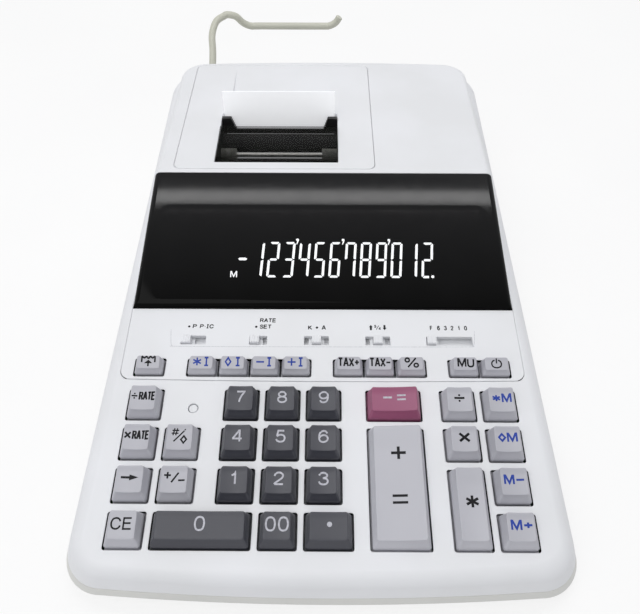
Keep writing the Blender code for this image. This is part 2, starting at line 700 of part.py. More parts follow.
def seat_height(y):
    """Height of the ledge that the display window lies on."""
    return SLOPE_Z + (y - SLOPE_Y) * math.tan(SLOPE_ANGLE) - WINDOW_THICKNESS / math.cos(SLOPE_ANGLE)


def housing_ring(outline, inset, turn, top):
    """Ring on the housing wall's rounded upper edge; turn 0 is the top of the plain wall."""
    ring = []
    for x, y in outline.half():
        rise = max(0.0, profile(top, y) - deck_height(y))
        rounding = min(HOUSING_EDGE_ROUND, rise)
        z = deck_height(y) + rise - rounding * (1 - math.sin(turn))
        extra = inset + rounding * (1 - math.cos(turn))
        side = extra + HOUSING_DRAFT * max(0.0, z - DISPLAY_FOOT.z)
        px, py = outline.inset(x, y, side, extra)
        ring.append(Vector((px, py, z)))
    return ring


def housing_skirt(outline, grow, drop):
    """Ring round the housing at a depth below the keyboard plane, grown outwards."""
    ring = []
    for x, y in outline.half():
        side = HOUSING_DRAFT * max(0.0, deck_height(y) - DISPLAY_FOOT.z) - grow
        px, py = outline.inset(x, y, side, -grow)
        ring.append(Vector((px, py, deck_height(py) - drop)))
    return ring


def housing_outline(front=HOUSING_FRONT_Y, inset=0.0, top=None):
    sides = front + HOUSING_FRONT_BOW + HOUSING_FRONT_ROUND
    stations = tuple(y for y, z in (top or housing_profile()) if y > sides)
    return Outline(HOUSING_WIDTH / 2 - inset, front, HOUSING_REAR_Y - inset, HOUSING_FRONT_ROUND,
                   HOUSING_REAR_ROUND - inset, HOUSING_FRONT_BOW, CASE_REAR_BOW, stations)


def housing_form(bm, outline, drop, top):
    """Solid under the housing's outer surface, or under its inner one."""
    rings = [housing_skirt(outline, 0.0, drop), housing_skirt(outline, 0.0, 0.0)]
    for i in range(HOUSING_EDGE_STEPS + 1):
        rings.append(housing_ring(outline, 0.0, math.pi / 2 * i / HOUSING_EDGE_STEPS, top))
    loft(bm, rings, strip_top=True)


def window_block(bm, grow):
    """Space of the display window, grown for the recess that holds it."""
    front = DISPLAY_FOOT.y - grow
    rear = WINDOW_REAR_Y + grow
    ceiling = HOUSING_TOP + OVERRUN
    section = ((front, seat_height(front) - grow), (rear, seat_height(rear) - grow),
               (rear, ceiling), (front, ceiling))
    prism(bm, section, -HALF_WIDTH, HALF_WIDTH)


def boss_places():
    """Screw places under the keyboard case, then under the housing."""
    side = board_half_width() + BOSS_BOARD_GAP + BOSS_RADIUS
    housing_side = HOUSING_WIDTH / 2 - HOUSING_BOSS_SIDE_INSET
    housing_front = HOUSING_FRONT_Y + HOUSING_BOSS_FRONT_INSET
    housing_rear = HOUSING_REAR_Y - HOUSING_BOSS_REAR_INSET
    return (
        (-side, BOSS_FRONT_Y), (side, BOSS_FRONT_Y),
        (-housing_side, housing_front), (housing_side, housing_front),
        (-housing_side, housing_rear), (housing_side, housing_rear),
    )


def main_openings():
    """Name, x range and s range of the opening of each main key."""
    openings = []
    for name, column, row, width, rows, colour in MAIN_KEYS:
        left = COLUMNS[column]
        front = row * KEY_PITCH
        rear = front + KEY_LENGTH + (rows - 1) * KEY_PITCH
        openings.append((name, (left, left + width), (front, rear)))
    return openings


def function_openings():
    """Names, x range and s range of each opening that function keys share, across the keyboard."""
    openings = []
    left = -KEYBOARD_HALF
    for names in FUNCTION_GROUPS:
        right = left + function_pitch() * len(names)
        openings.append((names, (left, right), (FUNCTION_ROW_S, FUNCTION_END_S)))
        left = right + FUNCTION_GROUP_GAP
    return openings


def function_pitch():
    """Width of one function key, so that the groups and the gaps between them fill the row."""
    keys = sum(len(names) for names in FUNCTION_GROUPS)
    return (KEYBOARD_WIDTH - FUNCTION_GROUP_GAP * (len(FUNCTION_GROUPS) - 1)) / keys


def function_places():
    """Name, x range and s range of each function key."""
    places = []
    for names, x, s in function_openings():
        for i, name in enumerate(names):
            left = x[0] + i * function_pitch()
            places.append((name, (left, left + function_pitch()), s))
    return places


def build_bottom_case(root):
    outline = case_outline()
    depth = FOOT_HEIGHT

    def flat_ring(inset, z):
        return [Vector((*outline.inset(x, y, inset, inset), z)) for x, y in outline.half()]

    bm = bmesh.new()
    half_round = BASE_ROUND * (1 - math.sqrt(0.5))
    loft(bm, [flat_ring(BASE_INSET + BASE_ROUND, depth),
              flat_ring(BASE_INSET + half_round, depth + half_round),
              flat_ring(BASE_INSET, depth + BASE_ROUND),
              case_ring(outline, 0.0, 0.0),
              case_ring(outline, 0.0, TRAY_RISE - CLEARANCE)])
    piece = add_piece("bottom_case", bm, root, (0.55, 0.55, 0.53), 0.5)

    lip = bmesh.new()
    lip_inset = WALL + CLEARANCE
    loft(lip, [case_ring(outline, lip_inset, TRAY_RISE - CLEARANCE - LIP_ROOT),
               case_ring(outline, lip_inset, TRAY_RISE + LIP_HEIGHT)])
    combine(piece, lip, "UNION", "lip")

    hollow = bmesh.new()
    inner = lip_inset + LIP_THICKNESS
    loft(hollow, [flat_ring(BASE_INSET + inner, FLOOR_TOP),
                  case_ring(outline, inner, 0.0),
                  case_ring(outline, inner, TRAY_RISE + LIP_HEIGHT + OVERRUN)])
    combine(piece, hollow, "DIFFERENCE", "hollow")

    posts = bmesh.new()
    sunk = FLOOR_TOP - WALL / 2
    for x, y in boss_places():
        turned(posts, ((SCREW_PAD_RADIUS, sunk), (SCREW_PAD_RADIUS, FLOOR_TOP + SCREW_PAD_HEIGHT)),
               upright(x, y))
    for x in (FRAME_LEFT, FRAME_RIGHT):
        for y in (FRAME_FRONT_Y + 2 * FRAME_POST_RADIUS, FRAME_REAR_Y - 2 * FRAME_POST_RADIUS):
            turned(posts, ((FRAME_POST_RADIUS, sunk), (FRAME_POST_RADIUS, FRAME_BASE_Z - CLEARANCE)),
                   upright(x, y), SMALL_ROUND_STEPS)
    gland = Matrix.Translation((TRANSFORMER_X, CASE_DEPTH + GLAND_REACH, GLAND_Z))
    gland = gland @ Matrix.Rotation(math.pi / 2, 4, "X")
    turned(posts, ((GLAND_RADIUS, 0.0), (GLAND_RADIUS, GLAND_REACH + 2 * WALL)), gland)
    # The exact solver loses the rim where the gland crosses the rear wall
    combine(piece, posts, "UNION", "posts", "MANIFOLD")

    holes = bmesh.new()
    head_hole = SCREW_HEAD_RADIUS + 2 * SCREW_HOLE_GAP
    for x, y in boss_places():
        turned(holes, ((head_hole, FOOT_HEIGHT - OVERRUN),
                       (head_hole, FOOT_HEIGHT + SCREW_RECESS),
                       (SCREW_RADIUS + SCREW_HOLE_GAP, FOOT_HEIGHT + SCREW_RECESS),
                       (SCREW_RADIUS + SCREW_HOLE_GAP, BOSS_FOOT + OVERRUN)), upright(x, y),
               SMALL_ROUND_STEPS)
    bore = GLAND_REACH + CASE_REAR_ROUND
    turned(holes, ((GLAND_BORE, -OVERRUN), (GLAND_BORE, bore)), gland, SMALL_ROUND_STEPS)
    combine(piece, holes, "DIFFERENCE", "holes")
    return piece


def build_top_case(root):
    bm = bmesh.new()
    case_form(bm, 0.0, 0.0, DECK_EDGE_ROUND, TRAY_RISE)
    piece = add_piece("top_case", bm, root, WHITE_PLASTIC, 0.4, smooth=True)

    hollow = bmesh.new()
    case_form(hollow, WALL, WALL, DECK_EDGE_ROUND - WALL, TRAY_RISE - OVERRUN)
    combine(piece, hollow, "DIFFERENCE", "hollow")

    outline = housing_outline()
    ledge = bmesh.new()
    ledge_top = WALL + CLEARANCE
    loft(ledge, [housing_skirt(outline, LEDGE_BAND, ledge_top + LEDGE_THICKNESS),
                 housing_skirt(outline, LEDGE_BAND, WALL / 2)])
    combine(piece, ledge, "UNION", "ledge")

    mouth = bmesh.new()
    loft(mouth, [housing_skirt(outline, SEAM_GAP, ledge_top),
                 housing_skirt(outline, SEAM_GAP, -DECK_EDGE_ROUND)])
    combine(piece, mouth, "DIFFERENCE", "mouth")
    well = bmesh.new()
    loft(well, [housing_skirt(outline, -LEDGE_WIDTH, ledge_top + LEDGE_THICKNESS + OVERRUN),
                housing_skirt(outline, -LEDGE_WIDTH, ledge_top - OVERRUN)])
    combine(piece, well, "DIFFERENCE", "well")

    posts = bmesh.new()
    for x, s in board_posts():
        turned(posts, ((POST_RADIUS, BOARD_TOP + CLEARANCE), (POST_RADIUS, -WALL / 2)),
               DECK @ upright(x, s), SMALL_ROUND_STEPS)
    for x, y in boss_places()[:2]:
        turned(posts, ((BOSS_RADIUS, BOSS_FOOT), (BOSS_RADIUS, deck_height(y) - WALL / 2)),
               upright(x, y), SMALL_ROUND_STEPS)
    combine(piece, posts, "UNION", "posts")

    ears = bmesh.new()
    for left in ear_lefts():
        slab(ears, (left, left + EAR_THICKNESS), (CASE_DEPTH - 2 * WALL, ARM_HINGE_Y),
             (ARM_HINGE_Z - EAR_RADIUS, ARM_HINGE_Z + EAR_RADIUS))
    combine(piece, ears, "UNION", "ears")
    tips = bmesh.new()
    for left in ear_lefts():
        turned(tips, ((EAR_RADIUS, left), (EAR_RADIUS, left + EAR_THICKNESS)),
               across(ARM_HINGE_Y, ARM_HINGE_Z))
    combine(piece, tips, "UNION", "tips")

    holes = bmesh.new()
    for name, x, s in main_openings():
        slab(holes, x, s, (-WALL - OVERRUN, OVERRUN), KEY_CORNER_ROUND, DECK)
    turned(holes, ((RESET_RADIUS + RESET_GAP, -WALL - OVERRUN), (RESET_RADIUS + RESET_GAP, OVERRUN)),
           DECK @ upright(RESET_X, RESET_S), SMALL_ROUND_STEPS)
    pilot = SCREW_RADIUS + SCREW_HOLE_GAP
    for x, y in boss_places()[:2]:
        turned(holes, ((pilot, BOSS_FOOT - OVERRUN), (pilot, BOSS_FOOT + SCREW_LENGTH)),
               upright(x, y), SMALL_ROUND_STEPS)
    turned(holes, ((ARM_WIRE_RADIUS + BEARING_GAP, ear_lefts()[0] - OVERRUN),
                   (ARM_WIRE_RADIUS + BEARING_GAP, ear_lefts()[1] + EAR_THICKNESS + OVERRUN)),
           across(ARM_HINGE_Y, ARM_HINGE_Z), SMALL_ROUND_STEPS)
    slab(holes, (PAPER_LEFT - WALL, PAPER_RIGHT + WALL),
         (CASE_DEPTH - CASE_REAR_ROUND, CASE_DEPTH + OVERRUN), (INLET_Z, INLET_Z + INLET_HEIGHT))
    combine(piece, holes, "DIFFERENCE", "holes")
    return piece


def board_posts():
    """Places on the keyboard plane of the posts that carry the circuit board."""
    side = board_half_width() - POST_RADIUS
    return tuple((x, KEY_PITCH * share) for x in (-side, side) for share in POST_PITCH_SHARES)


def board_half_width():
    return KEYBOARD_HALF + FLANGE_REACH + MAT_MARGIN + 2 * POST_RADIUS


def ear_lefts():
    """Left faces of the two ears that the arm's hinge stub turns in."""
    first = ARM_STEM_X + 2 * ARM_WIRE_RADIUS
    return (first, first + EAR_SPACING)


def build_housing(root):
    top = housing_profile()
    outline = housing_outline()
    bm = bmesh.new()
    housing_form(bm, outline, WALL, top)
    piece = add_piece("upper_housing", bm, root, WHITE_PLASTIC, 0.4, smooth=True)

    core_front = DISPLAY_FOOT.y + DISPLAY_CORE_SETBACK
    under_seat = WALL / math.cos(SLOPE_ANGLE) + CLEARANCE
    inner_top = (
        (core_front, seat_height(core_front) - under_seat),
        (SLOPE_END_Y, seat_height(SLOPE_END_Y) - under_seat),
        (WINDOW_REAR_Y + WALL, seat_height(WINDOW_REAR_Y + WALL) - under_seat),
        (SHOULDER_Y, HOUSING_TOP - WALL),
    )
    hollow = bmesh.new()
    housing_form(hollow, housing_outline(core_front, WALL, inner_top), WALL + OVERRUN, inner_top)
    combine(piece, hollow, "DIFFERENCE", "hollow")

    cover_x = (COVER_LEFT, COVER_RIGHT)
    cover_y = (COVER_FRONT_Y, COVER_REAR_Y)
    ledge_top = HOUSING_TOP - WALL - CLEARANCE
    added = bmesh.new()
    slab(added, (cover_x[0] - COVER_LEDGE / 2, cover_x[1] + COVER_LEDGE / 2),
         (cover_y[0] - CLEARANCE, cover_y[1] + CLEARANCE),
         (ledge_top - COVER_LEDGE_THICKNESS, HOUSING_TOP - WALL / 2), COVER_CORNER_ROUND)
    combine(piece, added, "UNION", "ledge")
    posts = bmesh.new()
    for x, y in boss_places()[2:]:
        ceiling = profile(inner_top, y) if y > core_front else deck_height(y) - WALL
        turned(posts, ((BOSS_RADIUS, BOSS_FOOT), (BOSS_RADIUS, ceiling + BOSS_SINK)),
               upright(x, y), SMALL_ROUND_STEPS)
    combine(piece, posts, "UNION", "posts")
    wells = bmesh.new()
    for x, s, h in switch_wells(SWITCH_WELL_WALL):
        slab(wells, x, s, (h, -WALL / 2), matrix=DECK)
    combine(piece, wells, "UNION", "wells")

    recess = bmesh.new()
    window_block(recess, CLEARANCE)
    combine(piece, recess, "DIFFERENCE", "recess")

    cuts = bmesh.new()
    slab(cuts, (cover_x[0] - SEAM_GAP, cover_x[1] + SEAM_GAP),
         (cover_y[0] - SEAM_GAP, cover_y[1] + SEAM_GAP),
         (ledge_top, HOUSING_TOP + OVERRUN), COVER_CORNER_ROUND)
    combine(piece, cuts, "DIFFERENCE", "cover_seat")

    holes = bmesh.new()
    slab(holes, (cover_x[0] + COVER_LEDGE, cover_x[1] - COVER_LEDGE),
         (cover_y[0] + COVER_LEDGE, cover_y[1] - COVER_LEDGE),
         (ledge_top - COVER_LEDGE_THICKNESS - OVERRUN, ledge_top + OVERRUN), COVER_CORNER_ROUND)
    for names, x, s in function_openings():
        slab(holes, x, s, (-WALL - OVERRUN, OVERRUN), KEY_CORNER_ROUND, DECK)
    seat = -WINDOW_THICKNESS
    slab(holes, (SCREEN_LEFT, SCREEN_RIGHT), (SCREEN_FRONT_U, SCREEN_REAR_U),
         (seat - SCREEN_WALL_REACH, seat + OVERRUN), matrix=SLOPE)
    for x, s, h in switch_wells(0.0):
        slab(holes, x, s, (h, -WALL), matrix=DECK)
    pilot = SCREW_RADIUS + SCREW_HOLE_GAP
    for x, y in boss_places()[2:]:
        turned(holes, ((pilot, BOSS_FOOT - OVERRUN), (pilot, BOSS_FOOT + SCREW_LENGTH)),
               upright(x, y), SMALL_ROUND_STEPS)
    combine(piece, holes, "DIFFERENCE", "holes")

    slots = bmesh.new()
    for name, left, right, knob in switch_slots():
        slab(slots, (left, right),
             (SWITCH_S - SWITCH_SLOT_LENGTH / 2, SWITCH_S + SWITCH_SLOT_LENGTH / 2),
             (-WALL - CLEARANCE, OVERRUN), matrix=DECK)
    combine(piece, slots, "DIFFERENCE", "slots")
    return piece


def switch_slots():
    """Name, left and right end of each slot, and the left side of its knob."""
    slots = []
    for name, share, positions, rest in SWITCH_SHARES:
        left = share * KEYBOARD_HALF
        travel = SWITCH_STEP * (positions - 1)
        right = left + travel + SWITCH_KNOB_WIDTH + 2 * SWITCH_END_GAP
        slots.append((name, left, right, left + SWITCH_END_GAP + SWITCH_STEP * rest))
    return slots


def switch_wells(wall):
    """(x, s, lowest h) of the box under each switch slot, with walls of the given thickness round it."""
    wells = []
    reach = SWITCH_PLATE_MARGIN + SWITCH_END_GAP + wall
    depth = WALL + CLEARANCE + SWITCH_PLATE_THICKNESS + CLEARANCE + wall
    half = SWITCH_SLOT_LENGTH / 2 + SWITCH_PLATE_MARGIN + wall
    for name, left, right, knob in switch_slots():
        wells.append(((left - reach, right + reach), (SWITCH_S - half, SWITCH_S + half), -depth))
    return wells


def build_window(root):
    bm = bmesh.new()
    housing_form(bm, housing_outline(), WALL, housing_profile())
    piece = add_piece("display_window", bm, root, (0.012, 0.012, 0.014), 0.08, smooth=True)
    block = bmesh.new()
    window_block(block, 0.0)
    combine(piece, block, "INTERSECT", "block")
    return piece


def build_display_module(root):
    """Glass in the opening of the display seat, on a board that lies against the seat from below."""
    glass_top = -WINDOW_THICKNESS - 2 * CLEARANCE
    seat_foot = -WINDOW_THICKNESS - CLEARANCE - WALL - CLEARANCE * math.cos(SLOPE_ANGLE)
    board_top = seat_foot - CLEARANCE
    board_bottom = board_top - SCREEN_BOARD_THICKNESS
    left = SCREEN_LEFT + CLEARANCE
    right = SCREEN_RIGHT - CLEARANCE
    front = SCREEN_FRONT_U + CLEARANCE
    rear = SCREEN_REAR_U - CLEARANCE
    margin = SCREEN_BOARD_MARGIN
    bm = bmesh.new()
    slab(bm, (left - margin, right + margin), (front - margin, rear + margin),
         (board_bottom, board_top), matrix=SLOPE)
    piece = add_piece("display_module", bm, root, (0.05, 0.07, 0.06), 0.3)
    glass = bmesh.new()
    slab(glass, (left, right), (front, rear), (board_top - SCREEN_BOARD_THICKNESS / 2, glass_top),
         matrix=SLOPE)
    combine(piece, glass, "UNION", "glass")
    return piece


def build_cover(root):
    origin = (PRINT_CENTRE_X, (COVER_FRONT_Y + COVER_REAR_Y) / 2, HOUSING_TOP)
    bm = bmesh.new()
    slab(bm, (COVER_LEFT, COVER_RIGHT), (COVER_FRONT_Y, COVER_REAR_Y),
         (HOUSING_TOP - WALL, HOUSING_TOP), COVER_CORNER_ROUND)
    piece = add_piece("printer_cover", bm, root, WHITE_PLASTIC, 0.4, origin=origin)

    ramp_x = (PAPER_LEFT + RAMP_SIDE_INSET, PAPER_RIGHT - RAMP_SIDE_INSET)
    start = PRINT_WINDOW_REAR
    end = PRINT_WINDOW_REAR + RAMP_LENGTH
    inside = HOUSING_TOP - WALL / 2
    pan = bmesh.new()
    foot = HOUSING_TOP - RAMP_DEPTH - WALL
    prism(pan, ((start, foot), (end, inside), (start, inside)), ramp_x[0] - WALL, ramp_x[1] + WALL)
    combine(piece, pan, "UNION", "pan")

    cuts = bmesh.new()
    prism(cuts, ((start - OVERRUN, HOUSING_TOP - RAMP_DEPTH * (1 + OVERRUN / RAMP_LENGTH)),
                 (end, HOUSING_TOP), (end, HOUSING_TOP + RAMP_DEPTH),
                 (start - OVERRUN, HOUSING_TOP + RAMP_DEPTH)), *ramp_x)
    combine(piece, cuts, "DIFFERENCE", "ramp")
    opening = bmesh.new()
    slab(opening, (PRINT_LEFT, PRINT_RIGHT), (PRINT_WINDOW_FRONT, PRINT_WINDOW_REAR),
         (HOUSING_TOP - RAMP_DEPTH - 2 * WALL, HOUSING_TOP + OVERRUN))
    combine(piece, opening, "DIFFERENCE", "print_window")

    pane = bmesh.new()
    front = PRINT_WINDOW_FRONT + CLEARANCE
    rear = front + PANE_LENGTH
    low = HOUSING_TOP - PANE_FRONT_SINK
    high = HOUSING_TOP + PANE_REAR_RISE
    section = ((front, low), (rear, high), (rear, high + PANE_THICKNESS / 2),
               (rear - PANE_THICKNESS, high + PANE_THICKNESS), (front, low + PANE_THICKNESS))
    prism(pane, section, PRINT_LEFT + CLEARANCE, PRINT_RIGHT - CLEARANCE)
    add_piece("tear_bar", pane, root, (0.05, 0.05, 0.05), 0.1, origin=origin)
    return piece


def build_printer(root):
    bm = bmesh.new()
    outer = (FRAME_LEFT - FRAME_PLATE, FRAME_RIGHT + FRAME_PLATE)
    depth = (FRAME_FRONT_Y, FRAME_REAR_Y)
    slab(bm, outer, depth, (FRAME_BASE_Z, FRAME_SIDE_TOP))
    piece = add_piece("printer_frame", bm, root, (0.02, 0.02, 0.022), 0.5)

    hollow = bmesh.new()
    inner = (FRAME_LEFT, FRAME_RIGHT)
    slab(hollow, inner, (depth[0] + FRAME_PLATE, depth[1] - FRAME_PLATE),
         (FRAME_BASE_Z + FRAME_PLATE, FRAME_SIDE_TOP + OVERRUN))
    combine(piece, hollow, "DIFFERENCE", "hollow")
    gaps = bmesh.new()
    slab(gaps, inner, (depth[0] - OVERRUN, depth[0] + 2 * FRAME_PLATE),
         (FRAME_FRONT_TOP, FRAME_SIDE_TOP + OVERRUN))
    slab(gaps, inner, (depth[1] - 2 * FRAME_PLATE, depth[1] + OVERRUN),
         (FRAME_REAR_TOP, FRAME_SIDE_TOP + OVERRUN))
    paper_low = PAPER_BEND_Z - PAPER_BEND_RADIUS
    slab(gaps, (PAPER_LEFT - CLEARANCE, PAPER_RIGHT + CLEARANCE),
         (depth[1] - 2 * FRAME_PLATE, depth[1] + OVERRUN),
         (paper_low - FRAME_PLATE, paper_low + FRAME_PLATE))
    for y, radius in ((PLATEN_Y, PLATEN_JOURNAL_RADIUS),
                      (PLATEN_Y - PRINT_SHAFT_SPACING, PRINT_SHAFT_RADIUS)):
        bearing = radius + BEARING_GAP
        turned(gaps, ((bearing, outer[0] - OVERRUN), (bearing, outer[1] + OVERRUN)),
               across(y, PLATEN_Z), SMALL_ROUND_STEPS)
    combine(piece, gaps, "DIFFERENCE", "openings")

    guides = bmesh.new()
    rear = PAPER_Y - 2 * CLEARANCE
    top = HOUSING_TOP + GUIDE_TOP_RISE
    shoulder = GUIDE_FOOT_Z + GUIDE_SHOULDER_RISE
    inside = FRAME_PLATE / 2
    neck = CLEARANCE * 2
    for edge, way in ((FRAME_LEFT, 1.0), (FRAME_RIGHT, -1.0)):
        section = ((edge - way * inside, GUIDE_FOOT_Z), (edge + way * GUIDE_FOOT_WIDTH, GUIDE_FOOT_Z),
                   (edge + way * GUIDE_FOOT_WIDTH, shoulder), (edge + way * GUIDE_TOP_WIDTH, top),
                   (edge + way * neck, top), (edge + way * neck, FRAME_SIDE_TOP - inside),
                   (edge - way * inside, FRAME_SIDE_TOP - inside))
        prism(guides, section, rear - GUIDE_THICKNESS, rear, "Y")
    combine(piece, guides, "UNION", "guides")

    build_platen(root)
    build_print_shaft(root)
    return piece


def shaft_ends():
    """Where the shafts stop, flush with the outer faces of the side plates."""
    return FRAME_LEFT - FRAME_PLATE, FRAME_RIGHT + FRAME_PLATE


def build_platen(root):
    left, right = shaft_ends()
    body_left = FRAME_LEFT + CLEARANCE
    body_right = FRAME_RIGHT - CLEARANCE
    bm = bmesh.new()
    turned(bm, ((PLATEN_JOURNAL_RADIUS, left), (PLATEN_JOURNAL_RADIUS, body_left),
                (PLATEN_RADIUS, body_left), (PLATEN_RADIUS, body_right),
                (PLATEN_JOURNAL_RADIUS, body_right), (PLATEN_JOURNAL_RADIUS, right)),
           across(PLATEN_Y, PLATEN_Z))
    return add_piece("platen_roller", bm, root, (0.03, 0.03, 0.03), 0.7,
                     origin=(PRINT_CENTRE_X, PLATEN_Y, PLATEN_Z), smooth=True)


def build_print_shaft(root):
    left, right = shaft_ends()
    y = PLATEN_Y - PRINT_SHAFT_SPACING
    body_left = FRAME_LEFT + CLEARANCE
    body_right = FRAME_RIGHT - CLEARANCE
    bm = bmesh.new()
    turned(bm, ((PRINT_SHAFT_RADIUS, left), (PRINT_SHAFT_RADIUS, body_left),
                (PRINT_COLLAR_RADIUS, body_left), (PRINT_COLLAR_RADIUS, body_left + PRINT_COLLAR_LENGTH),
                (PRINT_SHAFT_RADIUS, body_left + PRINT_COLLAR_LENGTH),
                (PRINT_SHAFT_RADIUS, body_right - PRINT_COLLAR_LENGTH),
                (PRINT_COLLAR_RADIUS, body_right - PRINT_COLLAR_LENGTH), (PRINT_COLLAR_RADIUS, body_right),
                (PRINT_SHAFT_RADIUS, body_right), (PRINT_SHAFT_RADIUS, right)),
           across(y, PLATEN_Z), SMALL_ROUND_STEPS)
    return add_piece("print_shaft", bm, root, (0.6, 0.6, 0.6), 0.25, 1.0,
                     origin=(PRINT_CENTRE_X, y, PLATEN_Z), smooth=True)


def build_paper(root):
    """Strip that comes in low from the rear, bends up behind the platen and stands out of the window."""
    front = []
    rear = []
    centre_y = PAPER_Y + PAPER_BEND_RADIUS
    for i in range(PAPER_STEPS + 1):
        turn = math.pi / 2 * i / PAPER_STEPS
        for radius, side in ((PAPER_BEND_RADIUS, front), (PAPER_BEND_RADIUS - PAPER_THICKNESS, rear)):
            side.append((centre_y - radius * math.sin(turn), PAPER_BEND_Z - radius * math.cos(turn)))
    low = PAPER_BEND_Z - PAPER_BEND_RADIUS
    tail = centre_y + PAPER_TAIL
    outer = [(tail, low)] + front + [(PAPER_Y, PAPER_TOP_Z)]
    inner = [(tail, low + PAPER_THICKNESS)] + rear + [(PAPER_Y + PAPER_THICKNESS, PAPER_TOP_Z)]
    bm = bmesh.new()
    prism(bm, outer + list(reversed(inner)), PAPER_LEFT, PAPER_RIGHT)
    return add_piece("paper_strip", bm, root, (0.85, 0.85, 0.85), 0.8)


def key_ring(bm, half_width, front, rear, front_h, rear_h, radius):
    """Rounded rectangle of points round a key, at heights that change evenly from front to rear."""
    ring = []
    corners = ((half_width, front, -90.0), (half_width, rear, 0.0),
               (-half_width, rear, 90.0), (-half_width, front, 180.0))
    for x, s, start in corners:
        centre_x = x - math.copysign(radius, x)
        centre_s = s + radius if s == front else s - radius
        for i in range(KEY_CORNER_STEPS + 1):
            turn = math.radians(start + 90.0 * i / KEY_CORNER_STEPS)
            px = centre_x + radius * math.cos(turn)
            ps = centre_s + radius * math.sin(turn)
            height = front_h + (rear_h - front_h) * (ps - front) / (rear - front)
            ring.append(bm.verts.new(Vector((px, ps, height))))
    return ring


def build_key(name, keyboard, x, s, colour, front_rise, rear_rise):
    """Sprung cap with a dished top, and a flange that stops it under the keyboard plate."""
    half_width = (x[1] - x[0]) / 2 - KEY_GAP
    half_length = (s[1] - s[0]) / 2 - KEY_GAP
    reach = half_length + KEY_GAP + FLANGE_REACH
    front = -half_length + KEY_FRONT_SLOPE
    rear = half_length - KEY_REAR_SLOPE
    top_half = half_width - KEY_SIDE_SLOPE
    rim_half = top_half - KEY_EDGE
    dish_half = top_half - KEY_DISH_INSET
    round_out = KEY_CORNER_ROUND
    rings = (
        (half_width, -reach, reach, FLANGE_BOTTOM, FLANGE_BOTTOM, round_out),
        (half_width, -reach, reach, FLANGE_TOP, FLANGE_TOP, round_out),
        (half_width, -half_length, half_length, FLANGE_TOP, FLANGE_TOP, round_out),
        (half_width, -half_length, half_length, KEY_SKIRT_RISE, KEY_SKIRT_RISE, round_out),
        (top_half, front, rear, front_rise, rear_rise, round_out),
        (rim_half, front + KEY_EDGE, rear - KEY_EDGE, front_rise + KEY_EDGE_RISE,
         rear_rise + KEY_EDGE_RISE, round_out),
        (dish_half, front + KEY_DISH_INSET, rear - KEY_DISH_INSET, front_rise - KEY_DISH_DEPTH,
         rear_rise - KEY_DISH_DEPTH, round_out / 2),
    )
    bm = bmesh.new()
    loops = [key_ring(bm, *ring) for ring in rings]
    count = len(loops[0])
    for lower, upper in zip(loops, loops[1:]):
        for i in range(count):
            j = (i + 1) % count
            bm.faces.new((lower[i], lower[j], upper[j], upper[i]))
    bm.faces.new(list(reversed(loops[0])))
    bm.faces.new(loops[-1])
    centre = ((x[0] + x[1]) / 2, (s[0] + s[1]) / 2, 0.0)
    piece = add_piece(name, bm, keyboard, colour, 0.4, smooth=True)
    piece.location = centre
    return piece


def build_keys(keyboard):
    colours = {name: colour for name, column, row, width, rows, colour in MAIN_KEYS}
    for name, x, s in main_openings():
        build_key(name, keyboard, x, s, colours[name], KEY_FRONT_RISE, KEY_REAR_RISE)
    for name, x, s in function_places():
        build_key(name, keyboard, x, s, LIGHT_GREY, FUNCTION_FRONT_RISE, FUNCTION_REAR_RISE)


def build_switches(keyboard):
    """Knob in each slot, on a plate that slides under the keyboard plate."""
    for name, left, right, knob_left in switch_slots():
        half = SWITCH_KNOB_WIDTH / 2
        centre = knob_left + half
        length = SWITCH_SLOT_LENGTH / 2 - SWITCH_KNOB_GAP
        plate_top = -WALL - CLEARANCE
        plate_half = half + SWITCH_PLATE_MARGIN
        plate_length = SWITCH_SLOT_LENGTH / 2 + SWITCH_PLATE_MARGIN - CLEARANCE
        bm = bmesh.new()
        slab(bm, (centre - plate_half, centre + plate_half),
             (SWITCH_S - plate_length, SWITCH_S + plate_length),
             (plate_top - SWITCH_PLATE_THICKNESS, plate_top))
        piece = add_piece(name, bm, keyboard, WHITE_PLASTIC, 0.4,
                          origin=(centre, SWITCH_S, 0.0))
        knob = bmesh.new()
        slab(knob, (centre - half, centre + half), (SWITCH_S - length, SWITCH_S + length),
             (plate_top - SWITCH_PLATE_THICKNESS / 2, SWITCH_KNOB_RISE))
        combine(piece, knob, "UNION", "knob")


def build_reset(keyboard):
    bm = bmesh.new()
    flange = RESET_RADIUS + RESET_GAP + RESET_FLANGE_REACH
    turned(bm, ((flange, FLANGE_BOTTOM), (flange, FLANGE_TOP),
                (RESET_RADIUS, FLANGE_TOP), (RESET_RADIUS, -RESET_SINK)),
           upright(RESET_X, RESET_S))
    return add_piece("reset_button", bm, keyboard, (0.7, 0.7, 0.7), 0.4,
                     origin=(RESET_X, RESET_S, 0.0), smooth=True)


def build_mat(keyboard):
    """Rubber mat with one dome under each key, lying on the circuit board."""
    places = main_openings() + function_places()
    centres = [((x[0] + x[1]) / 2, (s[0] + s[1]) / 2) for name, x, s in places]
    bm = bmesh.new()
    slab(bm, (-KEYBOARD_HALF, KEYBOARD_HALF), (0.0, FUNCTION_END_S), (MAT_BOTTOM, MAT_TOP))
    piece = add_piece("key_mat", bm, keyboard, (0.35, 0.36, 0.38), 0.8)
    domes = bmesh.new()
    for x, s in centres:
        turned(domes, ((DOME_BASE_RADIUS, MAT_TOP - MAT_THICKNESS / 2), (DOME_BASE_RADIUS, MAT_TOP),
                       (DOME_TOP_RADIUS, DOME_TOP)), upright(x, s), DOME_STEPS)
    combine(piece, domes, "UNION", "domes")
    return piece


